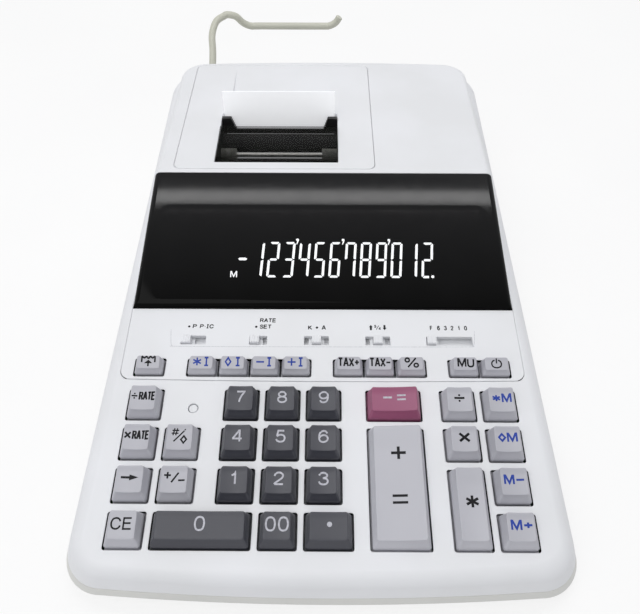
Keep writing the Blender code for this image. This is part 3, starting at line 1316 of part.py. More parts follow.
def build_board(keyboard):
    half = board_half_width()
    bm = bmesh.new()
    slab(bm, (-half, half), (-BOARD_FRONT_MARGIN, FUNCTION_END_S + MAT_MARGIN),
         (BOARD_BOTTOM, BOARD_TOP))
    return add_piece("circuit_board", bm, keyboard, (0.05, 0.18, 0.08), 0.4)


def build_transformer(root):
    """Laminated core with its coil, standing on the floor of the bottom case."""
    bottom = FLOOR_TOP + CLEARANCE
    half = TRANSFORMER_WIDTH / 2
    depth = TRANSFORMER_DEPTH / 2
    bm = bmesh.new()
    slab(bm, (TRANSFORMER_X - half, TRANSFORMER_X + half), (TRANSFORMER_Y - depth, TRANSFORMER_Y + depth),
         (bottom, bottom + TRANSFORMER_HEIGHT))
    piece = add_piece("transformer", bm, root, (0.25, 0.25, 0.27), 0.5, 0.6)
    coil = bmesh.new()
    margin = TRANSFORMER_COIL_MARGIN
    reach = depth + TRANSFORMER_COIL_REACH
    slab(coil, (TRANSFORMER_X - half + margin, TRANSFORMER_X + half - margin),
         (TRANSFORMER_Y - reach, TRANSFORMER_Y + reach),
         (bottom + margin, bottom + TRANSFORMER_HEIGHT - margin), margin / 2)
    combine(piece, coil, "UNION", "coil")
    return piece


def build_feet(root):
    """Rubber strips with round ends, one under the front and one under the rear."""
    half = HALF_WIDTH - FOOT_SIDE_INSET
    feet = {"rubber_foot_front": FOOT_END_INSET, "rubber_foot_rear": CASE_DEPTH - FOOT_END_INSET}
    for name, y in feet.items():
        bm = bmesh.new()
        slab(bm, (-half, half), (y - FOOT_RADIUS, y + FOOT_RADIUS), (0.0, FOOT_HEIGHT - CLEARANCE),
             FOOT_RADIUS)
        add_piece(name, bm, root, (0.03, 0.03, 0.03), 0.9)


def smooth_path(points, steps):
    """Catmull-Rom points through a route."""
    path = []
    ends = [2 * points[0] - points[1]] + points + [2 * points[-1] - points[-2]]
    for i in range(1, len(ends) - 2):
        p0, p1, p2, p3 = ends[i - 1:i + 3]
        for k in range(steps):
            t = k / steps
            path.append(0.5 * (2 * p1 + (p2 - p0) * t + (2 * p0 - 5 * p1 + 4 * p2 - p3) * t ** 2
                               + (3 * p1 - p0 - 3 * p2 + p3) * t ** 3))
    path.append(points[-1])
    return path


def arm_route():
    """Wire from the hinge stub, up and back, over its hump and along the axle, from its own origin."""
    stem = ARM_STEM_X - PRINT_CENTRE_X
    left = ARM_AXLE_LEFT - PRINT_CENTRE_X
    right = ARM_AXLE_RIGHT - PRINT_CENTRE_X
    anchors = {"stem": stem, "hump": (stem + left - ARM_BEND_RADIUS) / 2, "left": left, "right": right}
    points = [Vector((stem + ARM_STUB_LENGTH, 0.0, 0.0)),
              Vector((stem + ARM_STUB_LENGTH / 2, 0.0, 0.0))]
    for anchor, x_bend, y_bend, y_reach, z_bend, z_rise, z_hump in ARM_ROUTE_SHARES:
        points.append(Vector((
            anchors[anchor] + x_bend * ARM_BEND_RADIUS,
            y_bend * ARM_BEND_RADIUS + y_reach * ARM_AXLE_REACH,
            z_bend * ARM_BEND_RADIUS + z_rise * ARM_AXLE_RISE + z_hump * ARM_HUMP_RISE)))
    for run, rise in ARM_TIP_SHARES:
        points.append(Vector((right + run * ARM_TIP_RUN, ARM_AXLE_REACH,
                              ARM_AXLE_RISE + rise * ARM_TIP_RISE)))
    return points


def build_arm(root):
    curve = bpy.data.curves.new("paper_arm", "CURVE")
    curve.dimensions = "3D"
    curve.bevel_depth = ARM_WIRE_RADIUS
    curve.bevel_resolution = ARM_BEVEL_STEPS
    curve.use_fill_caps = True
    path = smooth_path(arm_route(), ARM_STEPS)
    spline = curve.splines.new("POLY")
    spline.points.add(len(path) - 1)
    for point, place in zip(spline.points, path):
        point.co = (*place, 1.0)
    piece = bpy.data.objects.new("paper_arm", curve)
    bpy.context.scene.collection.objects.link(piece)
    piece.data.materials.append(finish("paper_arm", (0.64, 0.64, 0.55), 0.4))
    piece.parent = root
    piece.location = (PRINT_CENTRE_X, ARM_HINGE_Y, ARM_HINGE_Z)
    return piece


def build_calculator():
    for leftover in list(bpy.data.objects):
        bpy.data.objects.remove(leftover)
    root = bpy.data.objects.new("calculator", None)
    bpy.context.scene.collection.objects.link(root)
    root.location = (0.0, -TOTAL_DEPTH / 2, 0.0)
    keyboard = bpy.data.objects.new("keyboard", None)
    bpy.context.scene.collection.objects.link(keyboard)
    keyboard.parent = root
    keyboard.location = (0.0, DECK_DATUM_Y, DECK_DATUM_Z)
    keyboard.rotation_euler = (DECK_TILT, 0.0, 0.0)

    build_bottom_case(root)
    build_top_case(root)
    build_housing(root)
    build_window(root)
    build_display_module(root)
    build_cover(root)
    build_printer(root)
    build_paper(root)
    build_keys(keyboard)
    build_switches(keyboard)
    build_reset(keyboard)
    build_mat(keyboard)
    build_board(keyboard)
    build_transformer(root)
    build_feet(root)
    build_arm(root)
    bpy.context.view_layer.update()


build_calculator()
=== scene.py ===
"""Looks of the printing calculator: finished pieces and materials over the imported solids.

Lengths are in metres. Pieces are laid out as the solids are, in depth from the front edge of the case,
with the keyboard on its own tilted plane (x across, s up the slope, h square to it), and move to their
place in the shared frame when they are finished.
"""
import math
from collections import namedtuple

import bmesh
import bpy
from mathutils import Matrix, Vector


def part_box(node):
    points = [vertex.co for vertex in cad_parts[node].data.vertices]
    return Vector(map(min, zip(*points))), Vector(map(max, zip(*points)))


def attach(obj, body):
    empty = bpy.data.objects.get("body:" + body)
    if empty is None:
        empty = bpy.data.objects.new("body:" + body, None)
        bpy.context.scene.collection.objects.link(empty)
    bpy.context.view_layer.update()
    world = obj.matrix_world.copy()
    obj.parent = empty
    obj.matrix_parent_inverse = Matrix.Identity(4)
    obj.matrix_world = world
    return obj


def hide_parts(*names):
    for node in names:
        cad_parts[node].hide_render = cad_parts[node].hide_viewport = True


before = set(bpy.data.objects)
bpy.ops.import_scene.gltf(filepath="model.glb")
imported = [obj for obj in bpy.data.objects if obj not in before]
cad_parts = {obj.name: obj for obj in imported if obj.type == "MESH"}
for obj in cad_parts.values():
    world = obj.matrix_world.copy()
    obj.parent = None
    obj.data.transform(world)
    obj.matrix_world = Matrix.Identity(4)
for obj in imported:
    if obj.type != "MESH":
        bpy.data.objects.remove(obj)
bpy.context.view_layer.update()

# Shared sizes
MM = 0.001
WALL = 0.0022
CLEARANCE = 0.0003
OVERRUN = 0.002
SMOOTH_ANGLE = math.radians(32.0)
MERGE_DISTANCE = 0.000002
CORNER_STEPS = 16
EDGE_STEPS = 4
PROFILE_STEPS = 6
ROUND_STEPS = 48
LEAST_ROUND = 0.00005
# Share of half its width that rounds a hole's corners when the hole is round: no two points meet
FULL_ROUND = 0.999
PLAN_STEPS = 6
FINE_PLAN_STEPS = 8
NORMAL_WEIGHT = 80

# The place of the case's front edge, and the keyboard plane
FRONT_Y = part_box("bottom_case")[0].y
PLACE = Matrix.Translation((0.0, FRONT_Y, 0.0))
DECK_TILT = math.radians(8.0)
DECK_Y = 0.0145
DECK_Z = 0.028
DECK = Matrix.Translation((0.0, DECK_Y, DECK_Z)) @ Matrix.Rotation(DECK_TILT, 4, "X")

# Case
HALF_WIDTH = 0.111
CASE_DEPTH = 0.327
CASE_FRONT_ROUND = 0.018
CASE_REAR_ROUND = 0.024
CASE_FRONT_BOW = 0.0032
CASE_REAR_BOW = 0.002
WIDEST_FRONT_Z = 0.0072
WIDEST_REAR_Z = 0.031
SIDE_DRAFT = 0.36
END_DRAFT = 0.10
DECK_EDGE_ROUND = 0.0052
CROWN_STEPS = 8
BOW_STEPS = 10
OPENING_ROUND = 0.0010
OPENING_EDGE = 0.00035
STEEP_NORMAL = 0.5
KEYBOARD_S = (0.0, 0.0768)
KEYBOARD_HALF = 0.099
FUNCTION_ROW_S = (0.0782, 0.0940)
LEDGE_BAND = 0.0015
LEDGE_WIDTH = 0.001
LEDGE_THICKNESS = 0.0015

# Tray
FOOT_HEIGHT = 0.002
BASE_INSET = 0.0045
BASE_ROUND = 0.003
TRAY_RISE = 0.0062
TRAY_EDGE = 0.0003
LIP_HEIGHT = 0.0025
LIP_THICKNESS = 0.0012
LIP_ROOT = 0.0005
PAD_RADIUS = 0.005
PAD_HEIGHT = 0.003
SCREW_HOLE_RADIUS = 0.0018
SCREW_RECESS_RADIUS = 0.0037
SCREW_RECESS = 0.003
SCREW_RECESS_EDGE = 0.0004
SCREW_PLACES = ((-0.0985, 0.025), (0.0985, 0.025), (-0.0845, 0.11995), (0.0845, 0.11995),
                (-0.0845, 0.298), (0.0845, 0.298))
GLAND_X = 0.062
GLAND_Z = 0.0165
GLAND_RADIUS = 0.0062
GLAND_BORE = 0.0036
GLAND_REACH = 0.004
# How far the gland's rounded end draws in at each depth from its tip, and its bore's flare and depth
GLAND_END = ((0.0008, 0.0), (0.0003, 0.0003), (0.0, 0.001))
GLAND_MOUTH = (0.0005, 0.0006)

# Raised housing
HOUSING_HALF = 0.096
HOUSING_FRONT_Y = 0.09115
HOUSING_REAR_Y = 0.3215
HOUSING_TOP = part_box("upper_housing")[1].z
HOUSING_FRONT_ROUND = 0.0045
HOUSING_FRONT_BOW = 0.0008
HOUSING_REAR_ROUND = 0.015
HOUSING_DRAFT = 0.15
HOUSING_EDGE_ROUND = 0.003
HOUSING_EDGE_STEPS = 6
SEAM_GAP = 0.0002
SEAM_EDGE = 0.0003
CORE_SETBACK = 0.015

# Display
DISPLAY_FOOT_Y = 0.13135
DISPLAY_FOOT_Z = 0.04442
LIP_RUN = 0.003
LIP_RISE = 0.0037
SLOPE_RUN = 0.0655
SHOULDER_RUN = 0.0055
SHOULDER_RISE = 0.0017
SLOPE_Y = DISPLAY_FOOT_Y + LIP_RUN
SLOPE_Z = DISPLAY_FOOT_Z + LIP_RISE
SLOPE_END_Y = SLOPE_Y + SLOPE_RUN
SHOULDER_Z = HOUSING_TOP - SHOULDER_RISE
SLOPE_ANGLE = math.atan2(SHOULDER_Z - SLOPE_Z, SLOPE_RUN)
SLOPE = Matrix.Translation((0.0, SLOPE_Y, SLOPE_Z)) @ Matrix.Rotation(SLOPE_ANGLE, 4, "X")
WINDOW_TAIL = 0.0028
WINDOW_REAR_Y = SLOPE_END_Y + WINDOW_TAIL
WINDOW_THICKNESS = 0.003
SCREEN_X = (-0.060, 0.072)
SCREEN_U = (0.0128, 0.0450)
PANEL_X = (-0.0838, 0.0838)
PANEL_U = (0.0030, 0.0508)
PANEL_SINK = 0.00004
PANEL_SOFT = 0.0060
PANEL_ROUND = 0.0025
PANEL_STEPS = 8

# Number in the display: places along the slope, sizes of a digit and its segments
DISPLAY_DIGITS = "123456789012"
DIGIT_LEFT = -0.03698
DIGIT_PITCH = 0.00795
DIGIT_FOOT = 0.0121
DIGIT_WIDTH = 0.0057
DIGIT_HEIGHT = 0.0200
DIGIT_SLANT = 0.066
SEGMENT = 0.00125
SEGMENT_GAP = 0.00022
SEGMENT_BEVEL_SHARE = 0.7
POINT_ROOM = 0.0018
LIT_SEGMENTS = {"0": "abcdef", "1": "bc", "2": "abdeg", "3": "abcdg", "4": "bcfg", "5": "acdfg",
                "6": "acdefg", "7": "abcf", "8": "abcdefg", "9": "abcdfg"}
# Words, x and height up the slope, height, width, stroke, in mm, and slant
DISPLAY_MARKS = (
    ("M", -45.6, 13.7, 3.7, 3.5, 0.55, 0.0),
    ("⬬", -41.4, 22.3, 1.5, 4.5, 0.0, 0.0),
    ("’", -13.25, 32.4, 3.3, 1.5, 0.0, 0.0),
    ("’", 10.6, 32.4, 3.3, 1.5, 0.0, 0.0),
    ("’", 34.45, 32.4, 3.3, 1.5, 0.0, 0.0),
    ("•", 56.3, 12.9, 1.6, 1.6, 0.0, 0.0),
)

# Printer cover and its window
COVER_X = (-0.0820, 0.0283)
COVER_Y = (0.20585, 0.3155)
COVER_ROUND = 0.004
COVER_LEDGE = 0.003
COVER_LEDGE_THICKNESS = 0.0018
COVER_EDGE = 0.0004
PRINT_ROUND = 0.0006
PRINT_EDGE = 0.0003
PRINT_X = (-0.06025, 0.00825)
PRINT_Y = (0.2115, 0.2595)
RAMP_X = (-0.0565, 0.0045)
RAMP_DEPTH = 0.0036
RAMP_LENGTH = 0.052
PANE_THICKNESS = 0.0015
PANE_FRONT_SINK = 0.0016
PANE_REAR_RISE = 0.0010
PANE_LENGTH = 0.0318
PAPER_X = (-0.0585, 0.0065)
INLET_Z = (0.0570, 0.0635)
GUIDE_BAR_Y = (0.2528, 0.2540)
GUIDE_BAR_Z = (0.0660, 0.0689)
GUIDE_BAR_EDGE = 0.0004

# Keys
KEY_GAP = 0.0005
KEY_SLIMMER = 0.0003
KEY_ROUND = 0.0010
KEY_EDGE = 0.0004
KEY_EDGE_STEPS = 4
KEY_CELL = 0.0009
KEY_LEAST_CELLS = 14
KEY_CORNER_STEPS = 3
KEY_SMOOTH_ANGLE = math.radians(40.0)
# How high up a cap's sides the rings between skirt and edge lie
SIDE_SHARES = (0.25, 0.5, 0.75, 1.0)
SIDE_CURVE_SHARE = 0.35
FLANGE_REACH = 0.0006
FLANGE_TOP = -0.0025
FLANGE_BOTTOM = -0.0037
SKIRT_RISE = 0.0008
INK_RISE = 0.00003
INK_SINK = 0.00006
INK_LAYER = 0.000004
STROKE_STEP = 0.0007
STROKE_CURVE_STEPS = 6
BORDER_CURVE_STEPS = 4
MITRE_LIMIT = 0.5
SIGN_GAP = 22.0
DOT_TURNS = [2 * math.pi * i / 20 for i in range(20)]

# Switches and the recessed button
SWITCH_S = 0.0996
SLOT_LENGTH = 0.0048
SLOT_STEP = 0.0035
SLOT_END_GAP = 0.0003
SLOT_ROUND = 0.0003
SLOT_EDGE = 0.0002
SWITCH_PLATE_TOP = -0.0025
PLATE_MARGIN = 0.0016
PLATE_ROOM = 0.0016
WELL_WALL = 0.0012
KNOB_WIDTH = 0.0045
KNOB_ROUND = 0.0003
RIB_RISE = 0.0003
RIB_WIDTH = 0.0006
RIB_STEP = 0.0013
RESET_HOLE = 0.00235
RESET_RADIUS = 0.0020
RESET_FLANGE_TOP = -0.0025
RESET_EDGE = 0.0003
# Radius and depth of the dimple's rings, from its rim in
RESET_DIMPLE = ((0.0011, 0.0), (0.0008, 0.0001), (0.0003, 0.0003))

# Screw heads
SCREW_RADIUS = 0.0031
SCREW_SHANK = 0.0014
SCREW_HEAD = 0.0018
SCREW_HEAD_EDGE = (0.0007, 0.0006)
SCREW_GAP = 0.00005
SCREW_REACH = 0.004
SCREW_SLOT = 0.0017
SCREW_SLOT_WIDTH = 0.0004
COPY_SEED = 7

# Print shaft
PRINT_SHAFT_Y = 0.2370
PRINT_SHAFT_Z = 0.0620
SHAFT_X = (-0.06255, 0.01055)
SHAFT_RADIUS = 0.0014
SHAFT_EDGE = 0.0003
COLLAR_LENGTH = 0.009
COLLAR_RADIUS = 0.0038
COLLAR_RIB = 0.0003
COLLAR_STEP = 0.0009
COLLAR_TURN_STEPS = 32

# Paper arm, its route in mm from the hinge
ARM_WIRE_RADIUS = 0.0024
ARM_END_EDGE = 0.0007
ARM_CURVE_STEPS = 8
ARM_SMOOTH_ANGLE = math.radians(50.0)
END_STEPS = 4
WIRE_TURNS = [2 * math.pi * i / 28 for i in range(28)]
ARM_ORIGIN_X = -0.026
ARM_HINGE_Y = 0.3322
ARM_HINGE_Z = 0.050
ARM_ROUTE = (
    (-35.0, 0.0, 0.0), (-43.5, 0.0, 0.0), (-46.6, 0.0, 0.0), (-50.8, 1.5, 1.32), (-52.0, 6.0, 5.1),
    (-52.0, 19.2, 16.22), (-52.72, 28.8, 23.3), (-50.5, 38.4, 28.18), (-45.2, 43.68, 30.0),
    (-42.5, 45.12, 30.3), (-37.1, 46.08, 28.59), (-32.4, 47.28, 23.46), (-27.0, 48.0, 20.8),
    (-19.8, 48.0, 20.8), (23.8, 48.0, 20.8), (29.8, 48.0, 21.14), (34.3, 48.0, 23.52), (37.0, 48.0, 27.6),
)
EAR_LEFTS = (-0.0732, -0.0637)
EAR_THICKNESS = 0.004
EAR_RADIUS = 0.0052

# Colours, as sRGB hex
WHITE = "E8E9EC"
TRAY_GREY = "DCDCD8"
KEY_GREY = "B8B8BF"
KEY_DARK = "393A42"
KEY_PINK = "924B6C"
INK_BLACK = "121215"
INK_WHITE = "C0C0C8"
INK_BLUE = "33499F"
INK_FAINT = "D3D4D8"

# Strokes of each sign, parted by bars. A stroke starts with its kind: "-" straight, "~" smooth,
# "l" straight and closed, "o" smooth and closed, "f" filled, "." a dot of x, y and radius. Points are
# x,y in hundredths of the height of a capital.
GLYPHS = {
    "0": "o 25,0 43,11 50,50 43,89 25,100 7,89 0,50 7,11",
    "1": "- 0,73 11,79 21,90 24,100 24,0",
    "2": "~ 1,70 8,92 26,100 44,92 50,73 42,51 17,24 3,8 0,0 | - 0,0 51,0",
    "3": "~ 1,77 9,94 25,100 41,93 47,77 40,61 22,54 | ~ 22,54 42,48 50,28 43,7 25,0 7,7 0,25",
    "4": "- 37,0 37,100 33,100 0,32 0,27 51,27",
    "5": "- 46,100 11,100 4,49 | ~ 4,49 15,60 28,64 44,55 50,32 43,8 24,0 7,7 0,23",
    "6": "~ 47,79 40,95 26,100 9,89 1,60 1,25 10,5 26,0 43,9 50,31 43,54 27,62 10,54 1,36",
    "7": "- 0,100 50,100 50,96 | ~ 50,97 34,68 21,33 16,0",
    "8": "o 25,54 40,61 46,77 40,94 25,100 10,94 4,77 10,61 | "
         "o 25,0 43,7 50,27 43,47 25,54 7,47 0,27 7,7",
    "9": "~ 3,21 10,5 24,0 41,11 49,40 49,75 40,95 24,100 7,91 0,69 7,46 23,38 40,46 49,64",
    "A": "- 0,0 28,100 34,100 62,0 | - 11,34 51,34",
    "C": "~ 60,70 50,92 31,100 9,88 0,50 9,12 31,0 51,9 61,32",
    "E": "- 52,100 0,100 0,0 54,0 | - 0,53 48,53",
    "F": "- 48,100 0,100 0,0 | - 0,53 42,53",
    "I": "- 17,0 17,100 | - 0,100 34,100 | - 0,0 34,0",
    "K": "- 0,0 0,100 | - 52,100 0,42 | - 18,60 55,0",
    "M": "- 0,0 0,100 6,100 35,12 64,100 70,100 70,0",
    "P": "- 0,0 0,100 28,100 | ~ 28,100 44,95 51,77 44,59 28,53 | - 28,53 0,53",
    "R": "- 0,0 0,100 30,100 | ~ 30,100 46,94 52,77 46,60 30,53 | - 30,53 0,53 | - 32,53 56,0",
    "S": "~ 51,75 43,94 26,100 9,94 2,77 10,61 27,52 44,43 52,25 44,7 26,0 8,6 0,26",
    "T": "- 0,100 58,100 | - 29,100 29,0",
    "U": "- 0,100 0,34 | ~ 0,34 7,9 27,0 47,9 54,34 | - 54,34 54,100",
    "X": "- 0,0 58,100 | - 0,100 58,0",
    "+": "- 0,50 60,50 | - 30,20 30,80",
    "−": "- 0,50 60,50",
    "=": "- 0,30 60,30 | - 0,70 60,70",
    "×": "- 0,20 60,80 | - 0,80 60,20",
    "÷": "- 0,50 60,50 | . 30,20,11 | . 30,80,11",
    "%": "o 17,58 30,64 34,78 30,92 17,98 4,92 0,78 4,64 | - 22,0 88,100 | "
         "o 90,2 103,8 107,22 103,36 90,42 77,36 73,22 77,8",
    "◊": "l 28,8 54,50 28,92 2,50",
    "∗": "- 33,12 33,88 | - 0,31 66,69 | - 0,69 66,31",
    "#": "- 14,58 24,100 | - 32,58 42,100 | - 4,71 50,71 | - 8,88 54,88",
    "/": "- 0,0 78,100",
    "⁺": "- 0,78 42,78 | - 21,55 21,101",
    "•": ". 10,50,10",
    "→": "- 0,50 62,50 | f 56,86 118,50 56,14",
    "↑": "f 5,0 19,0 19,56 25,56 12,100 -1,56 5,56",
    "↓": "f 5,100 5,44 -1,44 12,0 25,44 19,44 19,100",
    "⬬": "f 0,20 14,0 82,0 96,14 96,26 82,40 14,40 0,26",
    "’": "f 10,0 20,0 38,60 40,84 34,98 18,100 8,92 6,74 12,62 20,58",
    "⇧": "- 0,40 0,100 | ~ 0,100 14,84 26,96 38,80 50,96 62,84 76,100 | - 76,100 76,40 | "
         "- 38,0 38,46 | f 14,30 38,66 62,30",
    "⏻": "~ 30,86 10,72 2,46 10,18 34,4 58,4 82,18 90,46 82,72 62,86 | - 46,50 46,104",
}

# Marks of each key: words, x and s from the middle of its top, height, width and stroke, all in mm
KEYS = {
    "key_clear_entry": (KEY_GREY, INK_BLACK, (("CE", -0.3, 0.6, 5.0, 9.0, 0.72),)),
    "key_0": (KEY_DARK, INK_WHITE, (("0", 0.0, 0.8, 5.9, 4.5, 0.74),)),
    "key_00": (KEY_DARK, INK_WHITE, (("00", 0.0, 0.8, 5.9, 9.8, 0.74),)),
    "key_point": (KEY_DARK, INK_WHITE, (("•", 0.3, 0.8, 2.1, 2.1, 0.0),)),
    "key_plus_equals": (KEY_GREY, INK_BLACK, (("+", 0.3, 12.4, 6.8, 7.6, 1.25),
                                              ("=", 0.0, -7.6, 3.9, 7.4, 1.05))),
    "key_total": (KEY_GREY, INK_BLACK, (("∗", 0.3, 1.0, 6.0, 6.0, 1.10),)),
    "key_memory_plus": (KEY_GREY, INK_BLUE, (("M+", 0.4, 0.8, 4.5, 9.2, 0.86),)),
    "key_backspace": (KEY_GREY, INK_BLACK, (("→", 0.0, 0.8, 3.4, 8.4, 0.95),)),
    "key_sign": (KEY_GREY, INK_BLACK, (("⁺", -2.9, 1.8, 3.6, 3.6, 0.78), ("/", 0.3, 0.9, 4.8, 3.6, 0.74),
                                       ("−", 3.2, -0.3, 0.7, 3.6, 0.74))),
    "key_1": (KEY_DARK, INK_WHITE, (("1", -0.4, 0.8, 5.6, 2.3, 0.76),)),
    "key_2": (KEY_DARK, INK_WHITE, (("2", 0.0, 0.8, 5.6, 4.5, 0.76),)),
    "key_3": (KEY_DARK, INK_WHITE, (("3", 0.0, 0.8, 5.6, 4.5, 0.76),)),
    "key_memory_minus": (KEY_GREY, INK_BLUE, (("M−", 0.2, 0.8, 4.5, 9.0, 0.86),)),
    "key_times_rate": (KEY_GREY, INK_BLACK, (("×", -4.0, 0.9, 3.3, 3.2, 0.82),
                                             ("RATE", 1.8, 0.9, 4.2, 7.8, 0.80))),
    "key_nonadd": (KEY_GREY, INK_BLACK, (("#", -2.0, 2.4, 3.6, 3.8, 0.55), ("/", 0.0, 0.9, 6.0, 5.6, 0.62),
                                         ("◊", 1.9, -0.9, 3.8, 3.2, 0.74))),
    "key_4": (KEY_DARK, INK_WHITE, (("4", 0.0, 0.8, 5.6, 4.6, 0.76),)),
    "key_5": (KEY_DARK, INK_WHITE, (("5", 0.0, 0.8, 5.6, 4.5, 0.76),)),
    "key_6": (KEY_DARK, INK_WHITE, (("6", 0.0, 0.8, 5.6, 4.5, 0.76),)),
    "key_multiply": (KEY_GREY, INK_BLACK, (("×", 0.2, 0.8, 4.6, 5.4, 1.12),)),
    "key_memory_subtotal": (KEY_GREY, INK_BLUE, (("◊M", 0.2, 0.8, 4.5, 8.6, 0.84),)),
    "key_divide_rate": (KEY_GREY, INK_BLACK, (("÷", -4.0, 0.9, 3.6, 3.3, 0.72),
                                              ("RATE", 1.8, 0.9, 4.2, 7.8, 0.80))),
    "key_7": (KEY_DARK, INK_WHITE, (("7", 0.0, 0.8, 5.6, 4.2, 0.76),)),
    "key_8": (KEY_DARK, INK_WHITE, (("8", 0.0, 0.8, 5.6, 4.5, 0.76),)),
    "key_9": (KEY_DARK, INK_WHITE, (("9", 0.0, 0.8, 5.6, 4.5, 0.76),)),
    "key_minus_equals": (KEY_PINK, INK_WHITE, (("−", -3.1, 0.9, 0.8, 4.9, 0.86),
                                               ("=", 3.2, 0.9, 2.7, 4.7, 0.78))),
    "key_divide": (KEY_GREY, INK_BLACK, (("÷", 0.0, 0.8, 4.6, 5.6, 0.96),)),
    "key_memory_total": (KEY_GREY, INK_BLUE, (("∗M", 0.2, 0.8, 4.5, 9.0, 0.84),)),
    "key_paper_feed": (KEY_GREY, INK_BLACK, (("⇧", 0.0, 0.4, 5.4, 7.0, 0.76),)),
    "key_item_total": (KEY_GREY, INK_BLUE, (("∗", -2.0, 0.4, 4.4, 4.4, 0.72),
                                            ("I", 2.4, 0.4, 4.4, 2.6, 0.76))),
    "key_item_subtotal": (KEY_GREY, INK_BLUE, (("◊", -2.2, 0.4, 4.3, 3.2, 0.72),
                                               ("I", 2.4, 0.4, 4.4, 2.6, 0.76))),
    "key_item_minus": (KEY_GREY, INK_BLUE, (("−", -1.9, 0.4, 0.7, 4.4, 0.76),
                                            ("I", 2.4, 0.4, 4.4, 2.6, 0.76))),
    "key_item_plus": (KEY_GREY, INK_BLUE, (("+", -1.9, 0.4, 4.3, 4.6, 0.76),
                                           ("I", 2.4, 0.4, 4.4, 2.6, 0.76))),
    "key_tax_plus": (KEY_GREY, INK_BLACK, (("TAX+", 0.0, 0.4, 4.3, 10.4, 0.78),)),
    "key_tax_minus": (KEY_GREY, INK_BLACK, (("TAX−", 0.0, 0.4, 4.3, 10.4, 0.78),)),
    "key_percent": (KEY_GREY, INK_BLACK, (("%", 0.0, 0.4, 5.0, 6.8, 0.74),)),
    "key_markup": (KEY_GREY, INK_BLACK, (("MU", 0.4, 0.4, 4.3, 8.0, 0.80),)),
    "key_power": (KEY_GREY, INK_BLACK, (("⏻", 0.0, 0.4, 4.9, 5.2, 0.66),)),
}

# Shape of a key's top, in metres: how far its front, rear and side slopes run in, its height along the
# middle at the front and at the rear, the rise of its rear lip, how much higher its sides are at the
# front and at the rear, and the run of the rounding at its front edge
KeyTop = namedtuple("KeyTop", "front rear side low high lip front_scoop rear_scoop soft")
MAIN_TOP = KeyTop(0.0025, 0.0003, 0.0017, 0.0041, 0.0056, 0.0008, 0.0008, 0.0004, 0.0004)
FRONT_ROW_TOP = KeyTop(0.0024, 0.0003, 0.0017, 0.0041, 0.0052, 0.0005, 0.0003, 0.0003, 0.0022)
SMALL_TOP = KeyTop(0.0016, 0.0003, 0.0012, 0.0032, 0.0047, 0.0003, 0.0002, 0.0001, 0.0003)
FRONT_ROW = ("key_clear_entry", "key_0", "key_00", "key_point")
# Rise of the right side of a wide key over its middle
KEY_LEANS = {"key_plus_equals": 0.0009, "key_minus_equals": 0.0005}
FUNCTION_GROUPS = (
    ("key_paper_feed",),
    ("key_item_total", "key_item_subtotal", "key_item_minus", "key_item_plus"),
    ("key_tax_plus", "key_tax_minus", "key_percent"),
    ("key_markup", "key_power"),
)
FUNCTION_KEYS = tuple(name for group in FUNCTION_GROUPS for name in group)

# Marks beside the switches: words, x and s on the keyboard plane, height, width, stroke, in mm, and slant
CASE_MARKS = (
    ("•", -66.3, 107.3, 1.2, 1.2, 0.0, 0.0),
    ("P", -63.5, 107.4, 2.4, 2.0, 0.48, 0.05),
    ("P•IC", -57.5, 107.4, 2.4, 6.9, 0.48, 0.05),
    ("RATE", -27.2, 111.1, 2.4, 8.1, 0.48, 0.03),
    ("SET", -28.2, 107.4, 2.4, 5.9, 0.48, 0.03),
    ("•", -32.9, 107.3, 1.2, 1.2, 0.0, 0.0),
    ("K", -6.1, 107.0, 2.6, 2.0, 0.50, 0.0),
    ("•", -2.7, 107.0, 1.2, 1.2, 0.0, 0.0),
    ("A", 0.7, 107.0, 2.6, 2.2, 0.50, 0.0),
    ("↑", 24.1, 107.2, 3.0, 1.9, 0.0, 0.0),
    ("5", 26.3, 107.9, 1.6, 1.1, 0.36, 0.0),
    ("/", 27.4, 107.2, 2.6, 1.6, 0.31, 0.0),
    ("4", 28.5, 106.6, 1.6, 1.2, 0.36, 0.0),
    ("↓", 30.9, 107.2, 3.0, 1.9, 0.0, 0.0),
    ("F", 54.1, 107.1, 2.6, 1.4, 0.48, 0.0),
    ("6", 57.7, 107.1, 2.6, 1.4, 0.48, 0.0),
    ("3", 61.1, 107.1, 2.6, 1.4, 0.48, 0.0),
    ("2", 64.4, 107.1, 2.6, 1.4, 0.48, 0.0),
    ("1", 67.7, 107.1, 2.6, 0.9, 0.48, 0.0),
    ("0", 71.1, 107.1, 2.6, 1.5, 0.48, 0.0),
)
# Line round the switches, x and s in mm
SWITCH_BORDER = (
    (-75.1, 105.5), (-74.6, 101.0), (-74.1, 97.6), (-73.4, 96.3), (-71.5, 95.9), (-40.0, 95.9), (0.0, 96.0),
    (40.0, 96.2), (71.5, 96.4), (73.5, 96.8), (74.3, 98.0), (74.8, 101.0), (75.3, 105.5),
)
BORDER_WIDTH = 0.0003

# Lamps: place, size and power in watts. The strip is the band of light in the display panel.
LAMPS = {
    "key_light": ((-0.50, -0.55, 1.22), (0.9, 0.9), 5.4),
    "top_light": ((0.20, 0.75, 1.30), (1.0, 1.0), 2.4),
    "strip_light": ((0.0, 0.157, 1.22), (0.80, 0.03), 2.4),
}
SKY_COLOUR = "FBFCFF"
SKY_LEVEL = 0.50
FLOOR_REACH = 3.0
FLOOR_WHITE_SHARE = 0.75

# Camera: lens in mm, place from the case's front edge, and turn in degrees
LENS = 37.043
CAMERA_PLACE = (0.000381, -0.087381, 0.296105)
CAMERA_TURN = (41.174, 0.0238, 0.4012)

# Left end of each switch's slot and how many positions it has
SWITCHES = {
    "switch_print": (-0.06939, 3),
    "switch_rate": (-0.03582, 2),
    "switch_mode": (-0.00891, 3),
    "switch_rounding": (0.02124, 3),
    "switch_decimal": (0.05112, 6),
}


